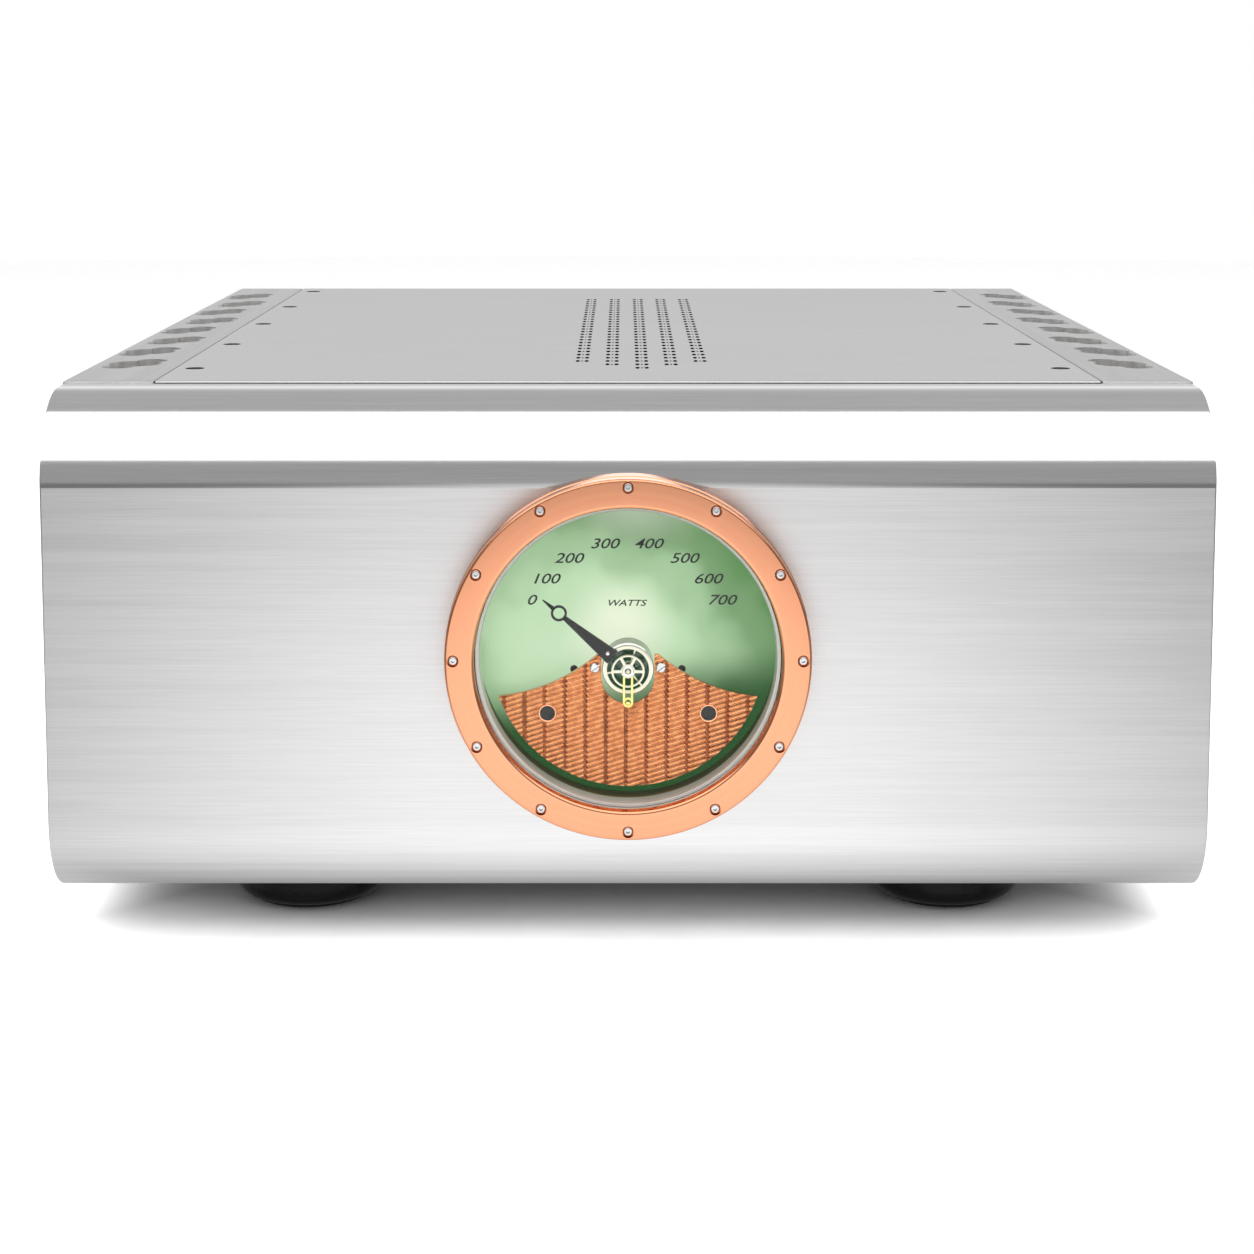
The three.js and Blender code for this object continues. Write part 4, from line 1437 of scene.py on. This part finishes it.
@dataclass
class Movement:
    """The barrel, the wheel that turns in it, the bridge over it and the pointer."""

    tip: float = 42.7
    eye_at: float = 34.6
    eye: tuple[float, float] = (2.2, 3.1)
    root: float = 7.8
    root_width: float = 6.2
    rest: float = -50.0
    pointer_body: str = "pointer"

    @property
    def centre(self) -> Point:
        """The pointer's axis, on the face."""
        return (0, AT.face, AT.pivot)

    def build(self) -> None:
        """Makes the movement's pieces."""
        barrel = [
            (1.1, 9.7), (8.9, 9.7), (8.9, 0.8), (9.1, 0.5), (9.6, 0.5), (9.9, 0.8), (9.9, 11.7), (1.1, 11.7),
        ]
        rim = [(8.75, 0.45), (9.0, 0.2), (9.6, 0.2), (9.95, 0.5), (9.95, 1.9), (8.75, 1.9)]
        # The lining is a sheet that carries painted green light from the dial on the barrel's inside.
        lining = [(1.3, 9.0), (8.3, 9.0), (8.3, 1.6), (8.85, 1.6), (8.85, 9.6), (1.3, 9.6)]
        rings = (
            ("barrel", barrel, BARREL, ["movement_barrel"]), ("barrel_rim", rim, SILVER, []),
            ("barrel_lining_dial_light", lining, DIAL_LIGHT_GREEN, []),
        )
        for name, shape, finish, nodes in rings:
            deliver(smooth(turned(name, shape, self.centre, Axis.Y, 96, True)), finish, nodes=nodes)
        self.wheel()
        self.pointer()
        self.bridge()

    def bar(self, width: float, ends: tuple[float, float], depths: tuple[float, float],
            turn: float) -> bpy.types.Object:
        """A flat arm that starts from the axis.

        Args:
            width: how wide it is.
            ends: where it starts and ends along its own length.
            depths: its front and back.
            turn: which way it points, in degrees from straight up, clockwise.

        Returns:
            The arm, set at the axis.
        """
        arm = block("arm", (-width / 2, depths[0], ends[0]), (width / 2, depths[1], ends[1]))
        return placed(arm, self.centre, (0, math.radians(turn), 0))

    @staticmethod
    def washer(name: str, radii: tuple[float, float], depths: tuple[float, float], centre: Point,
               sides: int) -> bpy.types.Object:
        """A flat ring.

        Args:
            name: its name.
            radii: its inner and outer radius.
            depths: its front and back.
            centre: its place.
            sides: how many sides stand for the round.

        Returns:
            The ring.
        """
        (inner, outer), (front, back) = radii, depths
        shape = [(inner, front), (outer, front), (outer, back), (inner, back)]
        return turned(name, shape, centre, Axis.Y, sides, True)

    def wheel(self) -> None:
        """Makes the spoked wheel with its shaft."""
        rim = self.washer("wheel", (8.1, 9.3), (-0.9, -0.1), self.centre, 96)
        for turn in (20, 140, 260):
            combine(rim, self.bar(0.6, (0, 8.5), (-0.8, -0.2), turn), Join.ADD)
        hub = [(0.8, 10.8), (0.8, 0.8), (1.7, 0.8), (1.7, -0.95), (0.8, -0.95), (0.8, -4.2), (0.55, -4.3)]
        combine(rim, turned("hub", hub, self.centre, Axis.Y, 40), Join.ADD)
        deliver(soften(rim, 0.08), GILT, self.pointer_body, ["pointer_arbor"])

    def pointer(self) -> None:
        """Makes the pointer with its eye, its point and the rivet at its root."""
        depths = (-2.0, -1.25)
        eye = self.washer("needle", self.eye, depths, (0, 0, self.eye_at), 56)
        spans = (
            (self.root_width / 2, 0.85, self.root, self.eye_at - self.eye[0] - 0.3),
            (0.85, 0.18, self.eye_at + self.eye[0] + 0.3, self.tip),
        )
        for wide, narrow, low, high in spans:
            blade = block("blade", (-wide, depths[0], low), (wide, depths[1], high))
            with editing(blade):
                pick(blade, Part.VERTS, lambda at, way: near(at.z, high))
                bpy.ops.transform.resize(value=(narrow / wide, 1, 1), center_override=(0, 0, high * MM))
            combine(eye, blade, Join.ADD)
        self.stand(soften(eye, 0.1))
        deliver(eye, INK, self.pointer_body, ["pointer"])
        dome = [(0.8, -1.9), (0.8, -2.1), (0.6, -2.3), (0.3, -2.35)]
        rivet = turned("needle_rivet", dome, (0, 0, 10.2), Axis.Y, 32)
        self.stand(smooth(rivet))
        deliver(rivet, SILVER, self.pointer_body)

    def stand(self, piece: bpy.types.Object) -> None:
        """Turns a piece drawn straight up to the start of the scale and sets it on the axis.

        Args:
            piece: the piece.
        """
        placed(piece, self.centre, (0, math.radians(self.rest), 0))

    def bridge(self) -> None:
        """Makes the bridge: a hub, short arms with a rail, and the fork that reaches down to its pillar."""
        depths = (-3.6, -2.6)
        frame_piece = self.washer("bridge", (5.6, 6.4), depths, self.centre, 80)
        for turn in (28, -28, -92, 92):
            combine(frame_piece, self.bar(1.1, (0, 6.0), depths, turn), Join.ADD)
        combine(frame_piece, rod("hub", 2.7, depths, self.centre, Axis.Y, 48), Join.ADD)
        x, y, z = self.centre
        proud = (depths[0] - 0.05, depths[1] + 0.05)
        fork = self.washer("bridge_fork", (1.15, 1.95), proud, (x, y, z - 12.2), 40)
        for side in (-1, 1):
            low = (x + side * 1.55 - 0.4, y + proud[0], z - 12.2)
            combine(fork, block("prong", low, (low[0] + 0.8, y + proud[1], z - 2.2)), Join.ADD)
        combine(fork, rod("pillar", 0.9, (depths[1] - 0.5, 0.7), (x, y, z - 13), Axis.Y, 24), Join.ADD)
        deliver(soften(fork, 0.1), FORK)
        combine(frame_piece, rod("bearing", 1.15, (-6, 0), self.centre, Axis.Y, 32))
        deliver(soften(frame_piece, 0.1), GILT, nodes=["movement_bridge"])
        collar = [(1.16, -3.2), (1.16, -3.9), (1.4, -4.1), (2.0, -4.1), (2.2, -3.9), (2.2, -3.58)]
        deliver(smooth(turned("bridge_bearing", collar, self.centre, Axis.Y, 48, True)), SILVER)


# ---------------------------------------------------------------- rear
@dataclass
class RearPanel:
    """The rear panel with its corner screws, and the bottom plate."""

    screw_x: tuple[float, ...] = (-180.0, -60.0, 60.0, 180.0)

    def build(self) -> None:
        """Dresses the plates and adds their screws."""
        deliver(rounded_copy("rear_panel", 0.3), PLATE, nodes=["rear_panel"])
        deliver(rounded_copy("bottom_plate", 0.3), PLATE, nodes=["bottom_plate"])
        rows = (AT.base + 12, AT.top - 14)
        heads = {
            f"{row}{count}": (x, AT.rear, z)
            for row, z in enumerate(rows)
            for count, x in enumerate(self.screw_x)
        }
        master = placed(socket_screw("panel_screw", 3.0, 1.6, 1.2, 1.5), turn=BACKWARDS)
        scatter(master, "panel_screw_", heads, STEEL)


@dataclass
class Inputs:
    """The balanced socket with its latch, the phono socket and the toggle beside them."""

    balanced: tuple[float, float] = (122.0, 150.0)
    phono: tuple[float, float] = (122.0, 98.0)
    toggle: tuple[float, float] = (78.0, 150.0)
    toggle_tilt: float = 12.0

    def build(self) -> None:
        """Makes the inputs."""
        self.balanced_socket()
        self.phono_socket()
        self.toggle_switch()

    def balanced_socket(self) -> None:
        """Makes the balanced socket."""
        x, z = self.balanced
        centre = (x, AT.rear, z)
        low = (x - 13, AT.rear + 0.3, z - 15.5)
        flange = block("balanced_socket", low, (x + 13, AT.rear + 2.4, z + 15.5))
        round_corners(flange, 2.5)
        combine(flange, rod("body", 11.8, (-20, 4), centre, Axis.Y, 72), Join.ADD)
        groove = turned("groove", [(7.4, -12), (9.8, -12), (9.8, 5), (7.4, 5)], centre, Axis.Y, 72, True)
        combine(flange, groove)
        for turn in (0, 120, 240):
            away = Vector((0, 0, -3.8)) @ Matrix.Rotation(math.radians(turn), 3, "Y")
            combine(flange, rod("contact", 1.5, (-10, 5), tuple(Vector(centre) + away), Axis.Y, 24))
        combine(flange, block("slot", (x - 4.5, AT.rear - 9, z + 9.9), (x + 4.5, AT.rear + 5, z + 13.3)))
        deliver(soften(flange, 0.25), PLASTIC, nodes=["xlr_socket"])
        deliver(rounded_copy("xlr_latch", 0.5), STEEL, "xlr_latch", ["xlr_latch"])
        heads = {"0": (x - 10.2, AT.rear, z + 12.8), "1": (x + 10.2, AT.rear, z - 12.8)}
        master = placed(socket_screw("socket_screw", 1.7, 1.0, 0.7, 3.3), turn=BACKWARDS)
        scatter(master, "socket_screw_", heads, STEEL)

    def phono_socket(self) -> None:
        """Makes the phono socket and its insulator."""
        centre = (self.phono[0], AT.rear, self.phono[1])
        shell = [
            (4.15, -14), (4.15, 0.3), (7, 0.3), (7, 2.3), (4.15, 2.6), (4.15, 11), (3.3, 11), (3.3, 3),
            (1.0, 3),
        ]
        deliver(soften(turned("phono_socket", shell, centre, Axis.Y, 64), 0.15), GOLD, nodes=["rca_socket"])
        core = [(3.25, 3.05), (3.25, 10.6), (1.6, 10.6), (1.6, 3.05)]
        deliver(smooth(turned("phono_insulator", core, centre, Axis.Y, 48, True)), PLASTIC)

    def toggle_switch(self) -> None:
        """Makes the toggle's bush, nut and lever."""
        x, z = self.toggle
        centre = (x, AT.rear, z)
        bush = [
            (1.9, -4), (1.9, 0), (3.4, 6), (4.0, 6), *self.thread(4.0, 5.8, 3.1), (4, 3.1), (4, -12),
            (1.9, -12),
        ]
        piece = turned("toggle_bush", bush, centre, Axis.Y, 48, True)
        nut = turned("nut", [(7, 0.3), (7, 2.6), (6.4, 3)], centre, Axis.Y, 6)
        combine(nut, rod("bore", 3.9, (-2, 5), centre, Axis.Y))
        combine(piece, nut, Join.ADD)
        deliver(soften(piece, 0.1), STEEL, nodes=["toggle_bush"])
        lever = [
            (1.4, -1.5), (1.2, 1.5), (1.2, 9), (2.1, 15), (2.1, 17), (1.8, 17.9), (1.3, 18.3), (0.5, 18.4),
        ]
        piece = turned("toggle_bat", lever, (0, 0, 0), Axis.Y, 40)
        placed(piece, centre, (-math.radians(self.toggle_tilt), 0, 0))
        deliver(smooth(piece, 60), STEEL, "toggle_lever", ["toggle_lever"])

    @staticmethod
    def thread(radius: float, start: float, end: float) -> Profile:
        """The rings that stand for a thread.

        Args:
            radius: the thread's outer radius.
            start: where it starts.
            end: where it ends.

        Returns:
            The profile's corners.
        """
        steps = int(abs(start - end) / 0.5)
        pitch = (end - start) / steps
        return [(radius - 0.25 * (count % 2), start + pitch * count) for count in range(steps)]


@dataclass
class MainsModule:
    """The mains inlet with its blades, over a rocker switch."""

    x: float = -122.0
    z: float = 96.0

    def build(self) -> None:
        """Makes the inlet, its blades and its rocker."""
        x, z, y = self.x, self.z, AT.rear
        body = block("inlet", (x - 24, y + 0.3, z - 31), (x + 24, y + 3, z + 31))
        round_corners(body, 3)
        combine(body, block("case", (x - 21.6, y - 22, z - 28.6), (x + 21.6, y + 1, z + 28.6)), Join.ADD)
        mouth = block("mouth", (x - 15.5, y - 14, z - 25), (x + 15.5, y + 5, z - 2))
        round_corners(mouth, 5, 1, z - 5)
        combine(body, mouth)
        combine(body, block("well", (x - 10.5, y - 9, z + 7.2), (x + 10.5, y + 5, z + 28.8)))
        deliver(soften(body, 0.4), PLASTIC, nodes=["mains_inlet"])
        for count, across in enumerate((-8, 0, 8)):
            low = (x + across - 1, y - 15, z - 13)
            blade = block(f"inlet_blade_{count + 1}", low, (x + across + 1, y - 2.5, z - 5))
            deliver(soften(blade, 0.4), GOLD)
        deliver(rounded_copy("mains_rocker", 0.6), PLASTIC, "mains_rocker", ["mains_rocker"])


@dataclass
class BindingPost:
    """One loudspeaker terminal: its stud, its washer and its knurled knob."""

    name: str
    side: int
    x: float = 34.0
    z: float = 80.0

    def build(self) -> None:
        """Makes the terminal."""
        centre = (self.side * self.x, AT.rear, self.z)
        stud = [(4, -14), (4, 0.3), (11, 0.3), (11, 5), (4, 5), (4, 37.4), (3.4, 38)]
        piece = turned("terminal_stud_" + self.name, stud, centre, Axis.Y, 64)
        combine(piece, rod("bore", 2, (23, 40), centre, Axis.Y, 32))
        deliver(soften(piece, 0.25), GOLD, nodes=["post_stud_" + self.name])
        washer = [(4.3, 5.4), (9.7, 5.4), (10, 5.7), (10, 8.1), (9.7, 8.4), (4.3, 8.4)]
        piece = turned("terminal_washer_" + self.name, washer, centre, Axis.Y, 64, True)
        deliver(smooth(piece), GOLD, "post_washer_" + self.name, ["post_washer_" + self.name])
        knob = [
            (4.3, 8.7), (10, 8.7), (11.4, 10.1), (11.4, 12), (11.4, 27), (11.4, 28.6), (10, 30), (6.5, 30),
            (6.2, 29.2), (4.3, 29.2),
        ]
        piece = turned("terminal_knob_" + self.name, knob, centre, Axis.Y, 72, True)
        self.knurl(piece, centre)
        deliver(smooth(piece, 28), GOLD, "post_knob_" + self.name, ["post_knob_" + self.name])

    def knurl(self, piece: bpy.types.Object, centre: Point) -> None:
        """Sinks every other face round the knob's grip.

        Args:
            piece: the knob.
            centre: its place on the rear plane.
        """
        def in_grip(at: Vector, way: Vector) -> bool:
            """True for every other face of the grip."""
            across, along, up = at - Vector(centre)
            turn = math.degrees(math.atan2(up, across)) % 10
            side = near(along, 19.5, 0.5) and abs(way.y) < 0.1 and way.length > 0
            return side and turn < 5 and math.hypot(across, up) > 10

        with editing(piece):
            pick(piece, Part.FACES, in_grip)
            bpy.ops.mesh.inset(thickness=0.12 * MM, depth=-0.4 * MM, use_individual=True)


@dataclass
class Insides:
    """What the casing hides, and the button under the panel."""

    finishes: dict[str, Finish] = field(default_factory=lambda: {
        "dial_backlight": BOARD, "power_transformer": VARNISH, "transformer_clamp": STEEL,
        "output_board_left": BOARD, "output_board_right": BOARD, "input_board": BOARD,
        "capacitor_1": SLEEVE, "capacitor_2": SLEEVE, "capacitor_3": SLEEVE, "capacitor_4": SLEEVE,
    })

    def build(self) -> None:
        """Dresses the hidden nodes and makes the button."""
        for node, finish in self.finishes.items():
            carry(node, finish)
        tip = AT.base - 1.5
        seat = AT.base + 10.3
        shape = [(3.9, tip), (4.3, tip + 0.2), (4.5, tip + 0.6), (4.5, seat), (7, seat), (7, seat + 2.5)]
        button = turned("button", shape, (0, AT.face + 38.5, 0), Axis.Z, 48)
        deliver(smooth(button), STEEL, "standby_button", ["standby_button"])


# ---------------------------------------------------------------- studio
@dataclass
class Studio:
    """The camera, the pale floor and the soft lights."""

    eye: Point = (-1.5, -958.5, 340.0)
    pitch: float = 6.5
    lens: float = 72.86
    shift: tuple[float, float] = (0.0023, -0.1974)
    floor_radius: float = 4000.0
    middle_y: float = 0.011
    half_depth: float = 0.26

    def build(self) -> None:
        """Sets up the studio."""
        self.camera()
        self.floor()
        self.world()
        self.lamp("softbox", (0, -760, 1180), (0, -120, 100), (2.6, 1.56), 17)
        self.lamp("side_left", (-1500, 200, 700), (0, 0, 120), (1.2, 0.9), 2.2)
        self.lamp("side_right", (1500, 200, 700), (0, 0, 120), (1.2, 0.9), 2.0)
        bpy.context.scene.view_settings.view_transform = "Standard"

    def camera(self) -> None:
        """Places the camera."""
        data = bpy.data.cameras.new("camera")
        data.lens = self.lens
        data.sensor_width = 36.0
        data.shift_x, data.shift_y = self.shift
        data.clip_end = 50.0
        camera = bpy.data.objects.new("camera", data)
        x, back, z = self.eye
        camera.location = Vector((x, AT.face + back, z)) * MM
        camera.rotation_euler = (math.radians(90 - self.pitch), 0, 0)
        bpy.context.scene.collection.objects.link(camera)
        bpy.context.scene.camera = camera

    def floor(self) -> None:
        """Lays a pale floor, which catches shadows and carries a painted shadow under the body for the eye,
        and glows in what the metal mirrors, with a painted shadow under the body there too.
        """
        bpy.ops.object.select_all(action="DESELECT")
        bpy.ops.mesh.primitive_circle_add(vertices=96, radius=self.floor_radius * MM, fill_type="NGON")
        disc = named("floor")
        recipe = Recipe("floor_white")
        x, y, _ = recipe.axes()
        aside = recipe.math("ABSOLUTE", x)
        ahead = recipe.math("MULTIPLY", y, -1)
        along = recipe.math("ABSOLUTE", recipe.math("ADD", y, self.middle_y))
        past_end = recipe.math("SUBTRACT", along, self.half_depth)
        # What the eye sees: a pale floor, with a painted shadow that darkens it under the body, between the
        # feet.
        mottle = recipe.remap(recipe.noise(Grain.EVEN, 40.0), (0.3, 0.7), (2.4, 2.5))
        under = recipe.math("MAXIMUM", recipe.math("SUBTRACT", aside, 0.28), past_end)
        painted_shadow = recipe.remap(under, (-0.105, -0.04), (0.25, 1.0))
        catcher = recipe.add("ShaderNodeBsdfDiffuse")
        recipe.link(recipe.math("MULTIPLY", mottle, painted_shadow), catcher.inputs["Color"])
        # What the metal mirrors: a glow that fades close by, far ahead and to the sides, and fades under the
        # body as a painted shadow.
        outside = recipe.math("MAXIMUM", recipe.math("SUBTRACT", aside, AT.half_width * MM), past_end)
        # Painted shadow: the glow drops to about an eighth under the body.
        strength = recipe.remap(outside, (-0.08, 0.05), (0.12, 1.0))
        fades = (
            (ahead, (0.75, 1.7), (1.0, 0.42)), (aside, (0.03, 0.5), (1.52, 0.38)),
            (ahead, (0.28, 0.75), (0.72, 1.0)),
        )
        for distance, source, target in fades:
            strength = recipe.math("MULTIPLY", strength, recipe.remap(distance, source, target))
        glow = recipe.add("ShaderNodeEmission")
        recipe.link(strength, glow.inputs["Strength"])
        mix = recipe.add("ShaderNodeMixShader")
        recipe.link(recipe.add("ShaderNodeLightPath").outputs["Is Camera Ray"], mix.inputs[0])
        recipe.link(glow.outputs[0], mix.inputs[1])
        recipe.link(catcher.outputs[0], mix.inputs[2])
        recipe.link(mix.outputs[0], recipe.tree.nodes["Material Output"].inputs["Surface"])
        disc.data.materials.append(recipe.material)

    def world(self) -> None:
        """Surrounds the scene: white to the eye, and shaded for what the surfaces mirror."""
        world = bpy.data.worlds.new("studio")
        bpy.context.scene.world = world
        world.use_nodes = True
        world.node_tree.nodes.clear()
        wiring = Wiring(world.node_tree)
        x, y, z = wiring.split(wiring.add("ShaderNodeTexCoord").outputs["Generated"])
        front = wiring.remap(wiring.math("ABSOLUTE", x), (0.15, 0.85), (0.34, 0.20))
        rear = wiring.remap(z, (0.15, 0.6), (0.95, 0.44))
        mirrored = wiring.blend(wiring.remap(y, (-0.25, 0.45), (0, 1)), front, rear)
        seen = wiring.add("ShaderNodeLightPath").outputs["Is Camera Ray"]
        light = wiring.add("ShaderNodeBackground")
        light.inputs["Color"].default_value = (1.0, 1.0, 1.0, 1.0)
        wiring.link(wiring.blend(seen, mirrored, 1.0), light.inputs["Strength"])
        wiring.link(light.outputs[0], wiring.add("ShaderNodeOutputWorld").inputs[0])

    def lamp(self, name: str, place: Point, target: Point, size: tuple[float, float], power: float) -> None:
        """Hangs one soft light.

        Args:
            name: its name.
            place: where it hangs.
            target: what it faces.
            size: its width and height, in metres.
            power: its power, in watts.
        """
        data = bpy.data.lights.new(name, "AREA")
        data.shape = "RECTANGLE"
        data.size, data.size_y = size
        data.energy = power
        light = bpy.data.objects.new(name, data)
        light.location = Vector(place) * MM
        way = Vector(target) - Vector(place)
        light.rotation_euler = way.to_track_quat("-Z", "Y").to_euler()
        bpy.context.scene.collection.objects.link(light)


def main() -> None:
    """Builds the model."""
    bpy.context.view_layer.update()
    assemblies = [
        Studio(), FrontPanel(), TopCover(), HeatSink(-1, "left"), HeatSink(1, "right"), Feet(), Porthole(),
        Dial(), SectorPlate(), Movement(), RearPanel(), Inputs(), MainsModule(), BindingPost("left", -1),
        BindingPost("right", 1), Insides(),
    ]
    for assembly in assemblies:
        assembly.build()
        log.info("%s built", type(assembly).__name__)


if __name__ == "__main__":
    main()
